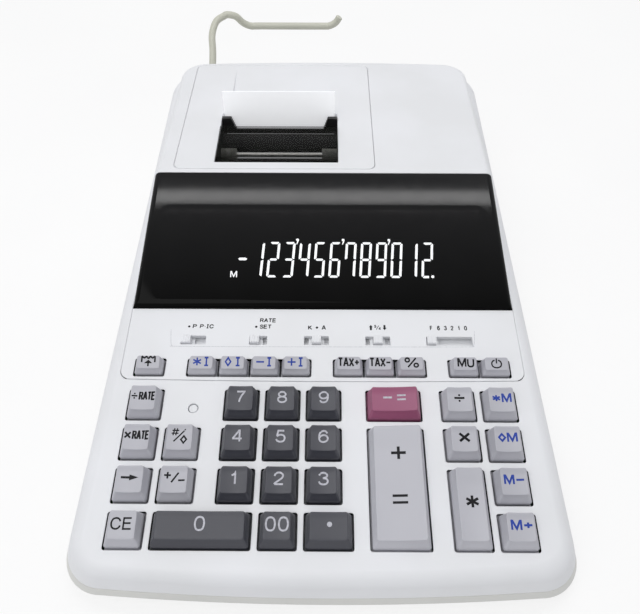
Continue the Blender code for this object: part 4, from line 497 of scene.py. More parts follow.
def linear(code):
    """Linear colour with alpha from an sRGB hex code."""
    channels = [int(code[i:i + 2], 16) / 255 for i in (0, 2, 4)]
    return (*(c / 12.92 if c <= 0.04045 else ((c + 0.055) / 1.055) ** 2.4 for c in channels), 1.0)


def add_node(tree, kind, settings=None, inputs=None):
    """Adds a node. Settings are its own properties; inputs are values, or sockets to link from."""
    made = tree.nodes.new(kind)
    for name, value in (settings or {}).items():
        setattr(made, name, value)
    for name, value in (inputs or {}).items():
        if isinstance(value, bpy.types.NodeSocket):
            tree.links.new(value, made.inputs[name])
        else:
            made.inputs[name].default_value = value
    return made


def new_material(name, **sockets):
    """Material with one Principled shader, the given values set on its own sockets."""
    material = bpy.data.materials.new(name)
    material.use_nodes = True
    shader = material.node_tree.nodes["Principled BSDF"]
    for socket, value in sockets.items():
        shader.inputs[socket.replace("_", " ")].default_value = value
    return material, material.node_tree, shader


def blotches(tree, size, detail=2.0, stretch=(1.0, 1.0, 1.0)):
    """Pattern of soft blotches, about `size` metres across, that is fixed to the piece."""
    place = add_node(tree, "ShaderNodeTexCoord")
    mapping = add_node(tree, "ShaderNodeMapping", inputs={
        "Vector": place.outputs["Object"], "Scale": stretch})
    return add_node(tree, "ShaderNodeTexNoise", inputs={
        "Vector": mapping.outputs["Vector"], "Scale": 1.0 / size, "Detail": detail}).outputs["Fac"]


def dress(tree, shader, tones=None, sheen=None, relief=None):
    """Gives a surface its colour, roughness and relief, each after a pattern.

    Tones are a pattern and two colours, sheen is a pattern and two roughnesses, and relief is a
    pattern, its depth in metres and its strength.
    """
    if tones:
        pattern, first, second = tones
        spread = add_node(tree, "ShaderNodeMapRange", inputs={
            "Value": pattern, "From Min": 0.35, "From Max": 0.65})
        colour = add_node(tree, "ShaderNodeMix", {"data_type": "RGBA"}, {
            0: spread.outputs["Result"], 6: linear(first), 7: linear(second)})
        tree.links.new(colour.outputs[2], shader.inputs["Base Color"])
    if sheen:
        pattern, low, high = sheen
        spread = add_node(tree, "ShaderNodeMapRange", inputs={
            "Value": pattern, "From Min": 0.3, "From Max": 0.7, "To Min": low, "To Max": high})
        tree.links.new(spread.outputs["Result"], shader.inputs["Roughness"])
    if relief:
        pattern, depth, strength = relief
        raised = add_node(tree, "ShaderNodeBump", inputs={
            "Height": pattern, "Distance": depth, "Strength": strength})
        tree.links.new(raised.outputs["Normal"], shader.inputs["Normal"])


def glow(tree, shader, strength):
    """Lets a surface give off a little light of its own colour."""
    colour = shader.inputs["Base Color"].links[0].from_socket
    tree.links.new(colour, shader.inputs["Emission Color"])
    shader.inputs["Emission Strength"].default_value = strength


def seen_directly(tree):
    """1 for the camera and for what gloss and glass show, and 0 for the light that falls on things."""
    path = add_node(tree, "ShaderNodeLightPath")
    seen = add_node(tree, "ShaderNodeMath", {"operation": "MAXIMUM"}, {
        0: path.outputs["Is Camera Ray"], 1: path.outputs["Is Glossy Ray"]})
    seen = add_node(tree, "ShaderNodeMath", {"operation": "MAXIMUM"}, {
        0: seen.outputs[0], 1: path.outputs["Is Transmission Ray"]})
    return seen.outputs[0]


def shade(code, factor):
    """The sRGB hex code made lighter or darker by a factor."""
    return "".join(f"{max(0, min(255, round(int(code[i:i + 2], 16) * factor))):02X}" for i in (0, 2, 4))


def moulded_plastic(name, code, grain, depth, roughness):
    """Injection-moulded plastic: even colour with faint flow clouds, and the fine texture of the mould.

    The real texture is 0.1 to 0.2 mm. It is drawn coarser so that it shows as a soft, matt surface.
    """
    material, tree, shader = new_material(name, IOR=1.53)
    clouds = blotches(tree, 45 * MM, 3.0)
    texture = blotches(tree, grain)
    dress(tree, shader, (clouds, shade(code, 0.985), shade(code, 1.01)),
          (texture, roughness - 0.05, roughness + 0.07), (texture, depth, 0.6))
    return material


def printed_ink(name, code):
    """Pad-printed ink: thin, matt and even, so that it stays dark under a white sky."""
    material, tree, shader = new_material(name, IOR=1.5, Specular_IOR_Level=0.15)
    film = blotches(tree, 0.9 * MM)
    dress(tree, shader, (film, shade(code, 0.94), shade(code, 1.05)), (film, 0.35, 0.48))
    return material


def glossy_acrylic(name):
    """Moulded black acrylic: deep and smooth with a faint waviness, its colour painted paler towards the rear
    as a painted reflection of the light along the top.
    """
    material, tree, shader = new_material(name, IOR=1.49, Specular_IOR_Level=0.06)
    place = add_node(tree, "ShaderNodeTexCoord")
    along = add_node(tree, "ShaderNodeSeparateXYZ", inputs={0: place.outputs["Object"]})
    # Painted reflection: the colour grows paler from the front of the panel to its rear, for the band of
    # light along its top
    depth = add_node(tree, "ShaderNodeMapRange", inputs={
        "Value": along.outputs["Y"], "From Min": FRONT_Y + DISPLAY_FOOT_Y,
        "From Max": FRONT_Y + WINDOW_REAR_Y, "To Min": 0.35, "To Max": 0.65})
    waves = add_node(tree, "ShaderNodeMapRange", inputs={
        "Value": blotches(tree, 18 * MM, 1.0), "To Min": -0.02, "To Max": 0.02})
    grey = add_node(tree, "ShaderNodeMath", {"operation": "ADD"}, {0: depth.outputs[0], 1: waves.outputs[0]})
    dress(tree, shader, (grey.outputs[0], "030303", "222223"), (blotches(tree, 6 * MM), 0.05, 0.07))
    return material


def lit_segment(name):
    """Printed display segments: bright, even and flat behind the panel's gloss."""
    material, tree, shader = new_material(name, IOR=1.5, Roughness=0.3)
    dress(tree, shader, (blotches(tree, 4 * MM, 1.0), "F4F6F8", "FFFFFF"))
    glow(tree, shader, 0.15)
    return material


def smoked_pane(name):
    """Tinted clear acrylic: the printer shows through it, greyed, under a thin gloss."""
    material, tree, shader = new_material(name, IOR=1.49, Alpha=0.36, Specular_IOR_Level=0.05)
    haze = blotches(tree, 12 * MM)
    dress(tree, shader, (haze, "0D0E0C", "151613"), (haze, 0.05, 0.12))
    return material


def paper_stock(name):
    """Uncoated paper roll: matt, with faint fibres along the strip, and a painted glow of its own colour that
    makes it look brighter than the lamps light it.

    Real fibres are finer than 0.05 mm. They are drawn coarser so that they show at all.
    """
    material, tree, shader = new_material(name, IOR=1.45)
    fibres = blotches(tree, 0.9 * MM, 4.0, (1.0, 1.0, 0.3))
    dress(tree, shader, (fibres, "F0F1F3", "F5F6F8"), (fibres, 0.85, 0.95), (fibres, 0.004 * MM, 0.3))
    # Painted light: the paper gives off a little light of its own colour to look brighter
    glow(tree, shader, 0.42)
    return material


def ground_steel(name):
    """Ground steel rod: bright, with fine rings round it from the grinding."""
    material, tree, shader = new_material(name, Metallic=1.0)
    rings = blotches(tree, 0.6 * MM, 2.0, (1.0, 0.05, 0.05))
    dress(tree, shader, (rings, "DDDCD8", "F2F1EE"), (rings, 0.34, 0.42))
    return material


def moulded_rubber(name, code, roughness=0.7):
    """Moulded rubber: dark, matt, with a dry bloom in patches and a slightly grainy skin."""
    material, tree, shader = new_material(name, IOR=1.52)
    bloom = blotches(tree, 5 * MM, 4.0)
    dress(tree, shader, (bloom, code, shade(code, 1.35)), (bloom, roughness, roughness + 0.2),
          (blotches(tree, 0.7 * MM, 3.0), 0.01 * MM, 0.3))
    return material


def painted_gap_shade(name):
    """Painted shade: matt black on the walls of the gaps round the keys, for the shade deep in them, where no
    light comes back out.
    """
    material, tree, shader = new_material(name, IOR=1.3, Specular_IOR_Level=0.1)
    shade_mottle = blotches(tree, 3 * MM, 3.0)
    dress(tree, shader, (shade_mottle, "0E0E10", "161618"), (shade_mottle, 0.85, 0.95))
    return material


def zinc_screw(name):
    """Zinc-plated steel: pale grey metal with a faintly cloudy plating."""
    material, tree, shader = new_material(name, Metallic=1.0)
    clouds = blotches(tree, 1.2 * MM, 3.0)
    dress(tree, shader, (clouds, "A9ABAE", "C9CBCC"), (clouds, 0.25, 0.45))
    return material


def solder_mask(name):
    """Circuit board: green lacquer over copper tracks, which show as paler lines."""
    material, tree, shader = new_material(name, IOR=1.5)
    place = add_node(tree, "ShaderNodeTexCoord")
    tracks = add_node(tree, "ShaderNodeTexBrick", {"offset": 0.37}, {
        "Vector": place.outputs["Object"], "Color1": linear("1E5A33"), "Color2": linear("1A4F2D"),
        "Mortar": linear("4B8A4E"), "Scale": 180.0, "Mortar Size": 0.03})
    tree.links.new(tracks.outputs["Color"], shader.inputs["Base Color"])
    dress(tree, shader, sheen=(blotches(tree, 4 * MM), 0.3, 0.4))
    return material


def laminated_steel(name):
    """Transformer core: stacked varnished sheets, half a millimetre each, with their edges showing."""
    material, tree, shader = new_material(name, Metallic=0.7)
    place = add_node(tree, "ShaderNodeTexCoord")
    sheets = add_node(tree, "ShaderNodeTexWave", {"bands_direction": "Y"}, {
        "Vector": place.outputs["Object"], "Scale": 300.0, "Distortion": 0.4, "Detail": 1.0}).outputs["Fac"]
    dress(tree, shader, (sheets, "3A3C40", "6A6C70"), (sheets, 0.45, 0.6), (sheets, 0.1 * MM, 0.5))
    return material


MATERIALS = {
    "white": moulded_plastic("moulded_white_abs", WHITE, 0.8 * MM, 0.03 * MM, 0.46),
    "tray": moulded_plastic("moulded_grey_abs", TRAY_GREY, 1.0 * MM, 0.04 * MM, 0.52),
    "frame": moulded_plastic("moulded_black_abs", "0C0C0E", 1.0 * MM, 0.03 * MM, 0.45),
    "arm": moulded_plastic("moulded_ivory_nylon", "C6C6B8", 1.2 * MM, 0.02 * MM, 0.38),
    KEY_GREY: moulded_plastic("key_plastic_light_grey", KEY_GREY, 0.7 * MM, 0.02 * MM, 0.42),
    KEY_DARK: moulded_plastic("key_plastic_dark_grey", KEY_DARK, 0.7 * MM, 0.02 * MM, 0.42),
    KEY_PINK: moulded_plastic("key_plastic_pink", KEY_PINK, 0.7 * MM, 0.02 * MM, 0.40),
    INK_BLACK: printed_ink("printed_ink_black", INK_BLACK),
    INK_WHITE: printed_ink("printed_ink_white", INK_WHITE),
    INK_BLUE: printed_ink("printed_ink_blue", INK_BLUE),
    INK_FAINT: printed_ink("printed_line_pale_grey", INK_FAINT),
    # Painted shade: black for the walls of the gaps round the keys
    "gap_shade": painted_gap_shade("painted_shade_black"),
    "panel": glossy_acrylic("glossy_black_acrylic"),
    "segments": lit_segment("display_segments"),
    "pane": smoked_pane("smoked_acrylic"),
    "paper": paper_stock("paper_stock"),
    "steel": ground_steel("ground_steel"),
    "collar": moulded_rubber("ribbed_grey_rubber", "84847E", 0.42),
    "rubber": moulded_rubber("black_rubber", "121213"),
    "mat": moulded_rubber("silicone_mat", "8C8F94"),
    "screw": zinc_screw("zinc_plated_steel"),
    "board": solder_mask("green_solder_mask"),
    "core": laminated_steel("laminated_core"),
}


def quarter_turns(steps):
    """Angles from zero to a right angle, in even steps."""
    return [math.pi / 2 * i / steps for i in range(steps + 1)]


class Outline:
    """Plan outline that is the same left and right, with rounded corners and bowed ends."""

    def __init__(self, half_width, front, rear, front_round, rear_round,
                 front_bow=0.0, rear_bow=0.0, stations=()):
        self.half_width = half_width
        self.front = front
        self.rear = rear
        self.front_round = front_round
        self.rear_round = rear_round
        self.front_bow = front_bow
        self.rear_bow = rear_bow
        self.stations = stations

    def half(self):
        """Points of the right-hand side, from the front centre to the rear centre."""
        front_flat = self.half_width - self.front_round
        rear_flat = self.half_width - self.rear_round
        front_base = self.front + self.front_bow + self.front_round
        rear_base = self.rear - self.rear_bow - self.rear_round
        points = []
        for i in range(BOW_STEPS):
            share = i / BOW_STEPS
            points.append((front_flat * share, self.front + self.front_bow * share ** 2))
        for turn in quarter_turns(CORNER_STEPS):
            points.append((front_flat + self.front_round * math.sin(turn),
                           front_base - self.front_round * math.cos(turn)))
        points += [(self.half_width, station) for station in self.stations]
        for turn in quarter_turns(CORNER_STEPS):
            points.append((rear_flat + self.rear_round * math.cos(turn),
                           rear_base + self.rear_round * math.sin(turn)))
        for i in range(BOW_STEPS):
            share = 1 - (i + 1) / BOW_STEPS
            points.append((rear_flat * share, self.rear - self.rear_bow * share ** 2))
        return points

    def inset(self, x, y, side, end):
        """A point moved in by `side` across the width and by `end` at the front and rear."""
        front_base = self.front + self.front_bow + self.front_round
        rear_base = self.rear - self.rear_bow - self.rear_round
        weight = 0.0
        if y < front_base:
            weight = -min(1.0, (front_base - y) / self.front_round)
        if y > rear_base:
            weight = min(1.0, (y - rear_base) / self.rear_round)
        return x * (1 - side / self.half_width), y - end * weight


def deck_height(y):
    return DECK_Z + (y - DECK_Y) * math.tan(DECK_TILT)


def widest_height(y):
    return WIDEST_FRONT_Z + (WIDEST_REAR_Z - WIDEST_FRONT_Z) * y / CASE_DEPTH


def profile(points, y):
    """Height at depth y on a line through (y, z) points, level past its ends."""
    if y <= points[0][0]:
        return points[0][1]
    for (y0, z0), (y1, z1) in zip(points, points[1:]):
        if y <= y1:
            return z0 + (z1 - z0) * (y - y0) / (y1 - y0)
    return points[-1][1]


def bridge(bm, lower, upper):
    """Quads between two closed rows that have the same number of corners."""
    for i, corner in enumerate(lower):
        j = (i + 1) % len(lower)
        bm.faces.new((corner, lower[j], upper[j], upper[i]))


def stack(bm, loops, matrix=Matrix()):
    """Closed body through loops that have the same number of points, from the lowest up."""
    rings = [[bm.verts.new(matrix @ Vector(p)) for p in loop] for loop in loops]
    for lower, upper in zip(rings, rings[1:]):
        bridge(bm, lower, upper)
    bm.faces.new(list(reversed(rings[0])))
    bm.faces.new(rings[-1])
    return rings


def loft(bm, halves, strip_top=False):
    """Closed body through rings that are each given by their right-hand half."""
    rings = []
    for half in halves:
        left = [Vector((-p.x, p.y, p.z)) for p in reversed(half[1:-1])]
        rings.append([bm.verts.new(p) for p in half + left])
    for lower, upper in zip(rings, rings[1:]):
        bridge(bm, lower, upper)
    count = len(rings[0])
    bm.faces.new(list(reversed(rings[0])))
    top = rings[-1]
    if strip_top:
        for i in range(len(halves[0]) - 1):
            corners = [top[i], top[i + 1], top[(count - i - 1) % count], top[(count - i) % count]]
            bm.faces.new(sorted(set(corners), key=corners.index))
    else:
        bm.faces.new(top)
    bmesh.ops.remove_doubles(bm, verts=bm.verts, dist=MERGE_DISTANCE)
    bmesh.ops.dissolve_degenerate(bm, edges=bm.edges, dist=MERGE_DISTANCE)


def rectangle(x, y, radius, steps=PLAN_STEPS):
    """Points of a rectangle with rounded corners, from its lower right corner round to the left."""
    corners = ((x[1], y[0], -90.0), (x[1], y[1], 0.0), (x[0], y[1], 90.0), (x[0], y[0], 180.0))
    points = []
    for corner_x, corner_y, start in corners:
        centre_x = corner_x - math.copysign(radius, corner_x - (x[0] + x[1]) / 2)
        centre_y = corner_y - math.copysign(radius, corner_y - (y[0] + y[1]) / 2)
        for i in range(steps + 1):
            turn = math.radians(start + 90.0 * i / max(steps, 1))
            points.append((centre_x + radius * math.cos(turn), centre_y + radius * math.sin(turn)))
    return points


def grown(x, amount):
    return x[0] - amount, x[1] + amount


def block(bm, x, y, z, radius=0.0, edge=0.0, matrix=Matrix(), steps=PLAN_STEPS):
    """Block with rounded upright corners, whose upper edge is rounded too if `edge` is given."""
    levels = [(0.0, z[0])]
    if edge > 0.0:
        for turn in quarter_turns(EDGE_STEPS):
            levels.append((-edge * (1 - math.cos(turn)), z[1] - edge * (1 - math.sin(turn))))
    else:
        levels.append((0.0, z[1]))
    corner_steps = steps if radius > 0.0 else 0
    loops = []
    for growth, height in levels:
        corner = max(radius + growth, LEAST_ROUND) if radius > 0.0 else 0.0
        plan = rectangle(grown(x, growth), grown(y, growth), corner, corner_steps)
        loops.append([(px, py, height) for px, py in plan])
    stack(bm, loops, matrix)


def opening(bm, x, y, depth, radius, edge=OPENING_EDGE, matrix=DECK):
    """Cutter for a hole in a plate whose upper rim is rounded, down to `depth` under the surface."""
    levels = [(0.0, -depth), (0.0, -edge)]
    for turn in quarter_turns(EDGE_STEPS)[1:]:
        levels.append((edge * (1 - math.cos(turn)), -edge * (1 - math.sin(turn))))
    levels.append((edge, OVERRUN))
    loops = []
    for growth, height in levels:
        plan = rectangle(grown(x, growth), grown(y, growth), radius + growth)
        loops.append([(px, py, height) for px, py in plan])
    stack(bm, loops, matrix)


def prism(bm, section, low, high, axis="X"):
    """Body with a flat outline pushed along X from (y, z) points, or along Y from (x, z) points."""
    near = [(low, a, b) if axis == "X" else (a, low, b) for a, b in section]
    far = [(high, a, b) if axis == "X" else (a, high, b) for a, b in section]
    stack(bm, [near, far])
    bmesh.ops.recalc_face_normals(bm, faces=bm.faces)


def turned(bm, points, matrix, steps=ROUND_STEPS):
    """Closed body of revolution about the local Z axis, from (radius, height) points, bottom to top."""
    loops = []
    for radius, height in points:
        loops.append([(radius * math.cos(2 * math.pi * (i + 0.5) / steps),
                       radius * math.sin(2 * math.pi * (i + 0.5) / steps), height) for i in range(steps)])
    return stack(bm, loops, matrix)


def upright(x, y):
    return Matrix.Translation((x, y, 0.0))


def across(y, z):
    """Frame whose Z axis runs along +X at the given depth and height."""
    return Matrix.Translation((0.0, y, z)) @ Matrix.Rotation(math.pi / 2, 4, "Y")


def new_object(name, bm):
    mesh = bpy.data.meshes.new(name)
    bm.to_mesh(mesh)
    bm.free()
    made = bpy.data.objects.new(name, mesh)
    bpy.context.scene.collection.objects.link(made)
    return made


def plain_mesh(made):
    """The object's evaluated mesh, with its modifiers applied and removed."""
    graph = bpy.context.evaluated_depsgraph_get()
    mesh = bpy.data.meshes.new_from_object(made.evaluated_get(graph))
    made.modifiers.clear()
    made.data = mesh
    return mesh


def carve(piece, bm, operation="DIFFERENCE"):
    """Cuts a body from a piece, or joins it on, and keeps the result as the piece's own mesh."""
    tool = new_object("tool", bm)
    modifier = piece.modifiers.new("carve", "BOOLEAN")
    modifier.operation = operation
    modifier.solver = "MANIFOLD"
    modifier.object = tool
    plain_mesh(piece)
    bpy.data.objects.remove(tool)


def complete(piece, body, finishes, replaces=(), smooth=SMOOTH_ANGLE):
    """Moves a piece's mesh to its place in the frame, gives it its finishes and its body."""
    mesh = piece.data
    mesh.transform(PLACE)
    mesh.materials.clear()
    for finish in finishes:
        mesh.materials.append(MATERIALS[finish])
    if smooth:
        mesh.shade_smooth()
        mesh.set_sharp_from_angle(angle=smooth)
        shading = piece.modifiers.new("shading", "WEIGHTED_NORMAL")
        shading.keep_sharp = True
        shading.weight = NORMAL_WEIGHT
    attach(piece, body)
    if replaces:
        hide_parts(*replaces)
    return piece


def deck_points(name):
    """A solid's corners along the keyboard plane's own directions."""
    flat = (PLACE @ DECK).inverted()
    return [flat @ v.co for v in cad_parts[name].data.vertices]


def box_of(points):
    """Lowest and highest corner of the box round some points."""
    return [Vector([pick(p[i] for p in points) for i in range(3)]) for pick in (min, max)]


def key_opening(name):
    """x range and s range of the opening that a key stands in."""
    low, high = box_of(deck_points(name))
    return (low.x - KEY_GAP, high.x + KEY_GAP), (low.y + FLANGE_REACH, high.y - FLANGE_REACH)


def case_outline():
    return Outline(HALF_WIDTH, 0.0, CASE_DEPTH, CASE_FRONT_ROUND, CASE_REAR_ROUND,
                   CASE_FRONT_BOW, CASE_REAR_BOW)


def case_ring(outline, inset, rise):
    """Ring at a height above the widest line, following the draft of the walls."""
    ring = []
    for x, y in outline.half():
        px, py = outline.inset(x, y, inset + SIDE_DRAFT * rise, inset + END_DRAFT * rise)
        ring.append(Vector((px, py, widest_height(py) + rise)))
    return ring


def case_crown(outline, inset, drop, rounding, turn):
    """Ring on the rounded edge between the walls and the keyboard plane."""
    extra = rounding * (1 - math.cos(turn))
    ring = []
    for x, y in outline.half():
        rise = deck_height(y) - drop - widest_height(y) - rounding * (1 - math.sin(turn))
        px, py = outline.inset(x, y, inset + extra + SIDE_DRAFT * rise, inset + extra + END_DRAFT * rise)
        ring.append(Vector((px, py, deck_height(py) - drop - rounding * (1 - math.sin(turn)))))
    return ring


def case_form(inset, drop, rounding, foot):
    """Body from a height above the widest line up to the keyboard plane."""
    outline = case_outline()
    rings = [case_ring(outline, inset, foot)]
    rings += [case_crown(outline, inset, drop, rounding, turn) for turn in quarter_turns(CROWN_STEPS)]
    bm = bmesh.new()
    loft(bm, rings)
    return bm


def display_profile():
    """Side view of the raised housing, from the keyboard plane over the display to the top."""
    slope = math.tan(SLOPE_ANGLE)
    points = [(HOUSING_FRONT_Y, deck_height(HOUSING_FRONT_Y)), (DISPLAY_FOOT_Y, DISPLAY_FOOT_Z)]
    knee = 1 - slope * LIP_RUN / LIP_RISE
    for i in range(1, PROFILE_STEPS + 1):
        t = i / PROFILE_STEPS
        points.append((DISPLAY_FOOT_Y + LIP_RUN * t * t,
                       DISPLAY_FOOT_Z + LIP_RISE * (2 * t * (1 - t) * knee + t * t)))
    points.append((SLOPE_END_Y, SHOULDER_Z))
    reach = SHOULDER_RISE / slope / SHOULDER_RUN
    for i in range(1, PROFILE_STEPS + 1):
        t = i / PROFILE_STEPS
        points.append((SLOPE_END_Y + SHOULDER_RUN * (2 * t * (1 - t) * reach + t * t),
                       SHOULDER_Z + SHOULDER_RISE * (2 * t * (1 - t) + t * t)))
    return tuple(points)


def housing_ring(outline, turn, top):
    """Ring on the housing wall's rounded upper edge; turn 0 is the top of the plain wall."""
    ring = []
    for x, y in outline.half():
        rise = max(0.0, profile(top, y) - deck_height(y))
        rounding = min(HOUSING_EDGE_ROUND, rise)
        z = deck_height(y) + rise - rounding * (1 - math.sin(turn))
        extra = rounding * (1 - math.cos(turn))
        side = extra + HOUSING_DRAFT * max(0.0, z - DISPLAY_FOOT_Z)
        px, py = outline.inset(x, y, side, extra)
        ring.append(Vector((px, py, z)))
    return ring


def housing_skirt(outline, grow, drop):
    """Ring round the housing at a depth below the keyboard plane, grown outwards."""
    ring = []
    for x, y in outline.half():
        side = HOUSING_DRAFT * max(0.0, deck_height(y) - DISPLAY_FOOT_Z) - grow
        px, py = outline.inset(x, y, side, -grow)
        ring.append(Vector((px, py, deck_height(py) - drop)))
    return ring


def housing_outline(top, front=HOUSING_FRONT_Y, inset=0.0):
    sides = front + HOUSING_FRONT_BOW + HOUSING_FRONT_ROUND
    stations = tuple(y for y, z in top if y > sides)
    return Outline(HOUSING_HALF - inset, front, HOUSING_REAR_Y - inset, HOUSING_FRONT_ROUND,
                   HOUSING_REAR_ROUND - inset, HOUSING_FRONT_BOW, CASE_REAR_BOW, stations)


def housing_form(outline, drop, top):
    rings = [housing_skirt(outline, 0.0, drop), housing_skirt(outline, 0.0, 0.0)]
    rings += [housing_ring(outline, turn, top) for turn in quarter_turns(HOUSING_EDGE_STEPS)]
    bm = bmesh.new()
    loft(bm, rings, strip_top=True)
    return bm


def seat_height(y):
    """Height of the ledge that the display window lies on."""
    return SLOPE_Z + (y - SLOPE_Y) * math.tan(SLOPE_ANGLE) - WINDOW_THICKNESS / math.cos(SLOPE_ANGLE)


def window_block(grow):
    """Space of the display window, grown for the recess that holds it."""
    front = DISPLAY_FOOT_Y - grow
    rear = WINDOW_REAR_Y + grow
    ceiling = HOUSING_TOP + OVERRUN
    bm = bmesh.new()
    prism(bm, ((front, seat_height(front) - grow), (rear, seat_height(rear) - grow),
               (rear, ceiling), (front, ceiling)), -HALF_WIDTH, HALF_WIDTH)
    return bm


def paint_gap_shade(piece, rows):
    """Gives the walls of the key openings, between two places up the keyboard plane, the black of the painted
    shade that stands for the shade deep in the gaps.
    """
    flat = (PLACE @ DECK).inverted()
    low, high = box_of(deck_points("reset_button"))
    for face in piece.data.polygons:
        middle = flat @ face.center
        wall = abs((flat.to_3x3() @ face.normal).z) < STEEP_NORMAL and middle.z < -OPENING_EDGE / 2
        keyed = rows[0] < middle.y < rows[1] and abs(middle.x) < KEYBOARD_HALF
        at_button = low.x < middle.x < high.x and low.y < middle.y < high.y
        if wall and keyed and not at_button:
            face.material_index = 1


def make_case():
    """White upper shell with the key openings, the mouth for the housing and the arm's ears."""
    piece = new_object("case_shell", case_form(0.0, 0.0, DECK_EDGE_ROUND, TRAY_RISE))
    carve(piece, case_form(WALL, WALL, DECK_EDGE_ROUND - WALL, TRAY_RISE - OVERRUN))
    outline = housing_outline(display_profile())
    ledge_top = WALL + CLEARANCE
    ledge = bmesh.new()
    loft(ledge, [housing_skirt(outline, LEDGE_BAND, ledge_top + LEDGE_THICKNESS),
                 housing_skirt(outline, LEDGE_BAND, WALL / 2)])
    carve(piece, ledge, "UNION")
    mouth = bmesh.new()
    loft(mouth, [housing_skirt(outline, SEAM_GAP, ledge_top), housing_skirt(outline, SEAM_GAP, SEAM_EDGE),
                 housing_skirt(outline, SEAM_GAP + SEAM_EDGE, 0.0),
                 housing_skirt(outline, SEAM_GAP + SEAM_EDGE, -DECK_EDGE_ROUND)])
    carve(piece, mouth)
    well = bmesh.new()
    loft(well, [housing_skirt(outline, -LEDGE_WIDTH, ledge_top + LEDGE_THICKNESS + OVERRUN),
                housing_skirt(outline, -LEDGE_WIDTH, ledge_top - OVERRUN)])
    carve(piece, well)
    ears = bmesh.new()
    for left in EAR_LEFTS:
        block(ears, (left, left + EAR_THICKNESS), (CASE_DEPTH - 2 * WALL, ARM_HINGE_Y),
              (ARM_HINGE_Z - EAR_RADIUS, ARM_HINGE_Z + EAR_RADIUS))
    carve(piece, ears, "UNION")
    tips = bmesh.new()
    for left in EAR_LEFTS:
        turned(tips, ((EAR_RADIUS, left), (EAR_RADIUS, left + EAR_THICKNESS)),
               across(ARM_HINGE_Y, ARM_HINGE_Z))
    carve(piece, tips, "UNION")
    holes = bmesh.new()
    for name in KEYS:
        if name not in FUNCTION_KEYS:
            x, s = key_opening(name)
            opening(holes, x, s, WALL + OVERRUN, OPENING_ROUND)
    low, high = box_of(deck_points("reset_button"))
    centre = (low + high) / 2
    opening(holes, grown((centre.x, centre.x), RESET_HOLE), grown((centre.y, centre.y), RESET_HOLE),
            WALL + OVERRUN, RESET_HOLE * FULL_ROUND)
    turned(holes, ((ARM_WIRE_RADIUS + CLEARANCE, EAR_LEFTS[0] - OVERRUN),
                   (ARM_WIRE_RADIUS + CLEARANCE, EAR_LEFTS[1] + EAR_THICKNESS + OVERRUN)),
           across(ARM_HINGE_Y, ARM_HINGE_Z))
    block(holes, grown(PAPER_X, WALL), (CASE_DEPTH - CASE_REAR_ROUND, CASE_DEPTH + OVERRUN), INLET_Z)
    carve(piece, holes)
    complete(piece, "case", ["white", "gap_shade"], ["top_case"])
    # Painted shade: the walls of the key openings turn black, for the shade deep in the gaps
    paint_gap_shade(piece, KEYBOARD_S)


def make_tray():
    """Grey tray under the case, with its rim, screw recesses and cable gland."""
    outline = case_outline()

    def flat_ring(inset, z):
        return [Vector((*outline.inset(x, y, inset, inset), z)) for x, y in outline.half()]

    rings = [flat_ring(BASE_INSET + BASE_ROUND * (1 - math.sin(turn)),
                       FOOT_HEIGHT + BASE_ROUND * (1 - math.cos(turn)))
             for turn in quarter_turns(EDGE_STEPS)]
    rim = TRAY_RISE - CLEARANCE
    rings += [case_ring(outline, 0.0, 0.0), case_ring(outline, 0.0, rim - TRAY_EDGE),
              case_ring(outline, TRAY_EDGE, rim)]
    bm = bmesh.new()
    loft(bm, rings)
    piece = new_object("case_tray", bm)
    lip_inset = WALL + CLEARANCE
    lip = bmesh.new()
    loft(lip, [case_ring(outline, lip_inset, rim - LIP_ROOT),
               case_ring(outline, lip_inset, TRAY_RISE + LIP_HEIGHT)])
    carve(piece, lip, "UNION")
    inner = lip_inset + LIP_THICKNESS
    hollow = bmesh.new()
    loft(hollow, [flat_ring(BASE_INSET + inner, FOOT_HEIGHT + WALL), case_ring(outline, inner, 0.0),
                  case_ring(outline, inner, TRAY_RISE + LIP_HEIGHT + OVERRUN)])
    carve(piece, hollow)
    posts = bmesh.new()
    floor_top = FOOT_HEIGHT + WALL
    for x, y in SCREW_PLACES:
        turned(posts, ((PAD_RADIUS, floor_top - WALL / 2), (PAD_RADIUS, floor_top + PAD_HEIGHT)),
               upright(x, y))
    gland = Matrix.Translation((GLAND_X, CASE_DEPTH + GLAND_REACH, GLAND_Z))
    gland = gland @ Matrix.Rotation(math.pi / 2, 4, "X")
    turned(posts, [(GLAND_RADIUS - inset, deep) for inset, deep in GLAND_END]
           + [(GLAND_RADIUS, GLAND_REACH + 3 * WALL)], gland)
    carve(piece, posts, "UNION")
    holes = bmesh.new()
    for x, y in SCREW_PLACES:
        turned(holes, ((SCREW_RECESS_RADIUS + SCREW_RECESS_EDGE, FOOT_HEIGHT - OVERRUN),
                       (SCREW_RECESS_RADIUS + SCREW_RECESS_EDGE, FOOT_HEIGHT),
                       (SCREW_RECESS_RADIUS, FOOT_HEIGHT + SCREW_RECESS_EDGE),
                       (SCREW_RECESS_RADIUS, FOOT_HEIGHT + SCREW_RECESS),
                       (SCREW_HOLE_RADIUS, FOOT_HEIGHT + SCREW_RECESS),
                       (SCREW_HOLE_RADIUS, floor_top + PAD_HEIGHT + OVERRUN)), upright(x, y))
    flare, flare_depth = GLAND_MOUTH
    turned(holes, ((GLAND_BORE + flare, -OVERRUN), (GLAND_BORE + flare, 0.0), (GLAND_BORE, flare_depth),
                   (GLAND_BORE, GLAND_REACH + CASE_REAR_ROUND)), gland)
    carve(piece, holes)
    return complete(piece, "case", ["tray"], ["bottom_case"])


def switch_slot(name):
    left, positions = SWITCHES[name]
    return left, left + SLOT_STEP * (positions - 1) + KNOB_WIDTH + 2 * SLOT_END_GAP


def switch_well(name, wall):
    """x and s ranges of the room under a switch's slot, with walls of the given thickness round it."""
    reach = PLATE_MARGIN + SLOT_END_GAP + wall
    depth = SLOT_LENGTH / 2 + PLATE_MARGIN + wall
    return grown(switch_slot(name), reach), grown((SWITCH_S, SWITCH_S), depth)


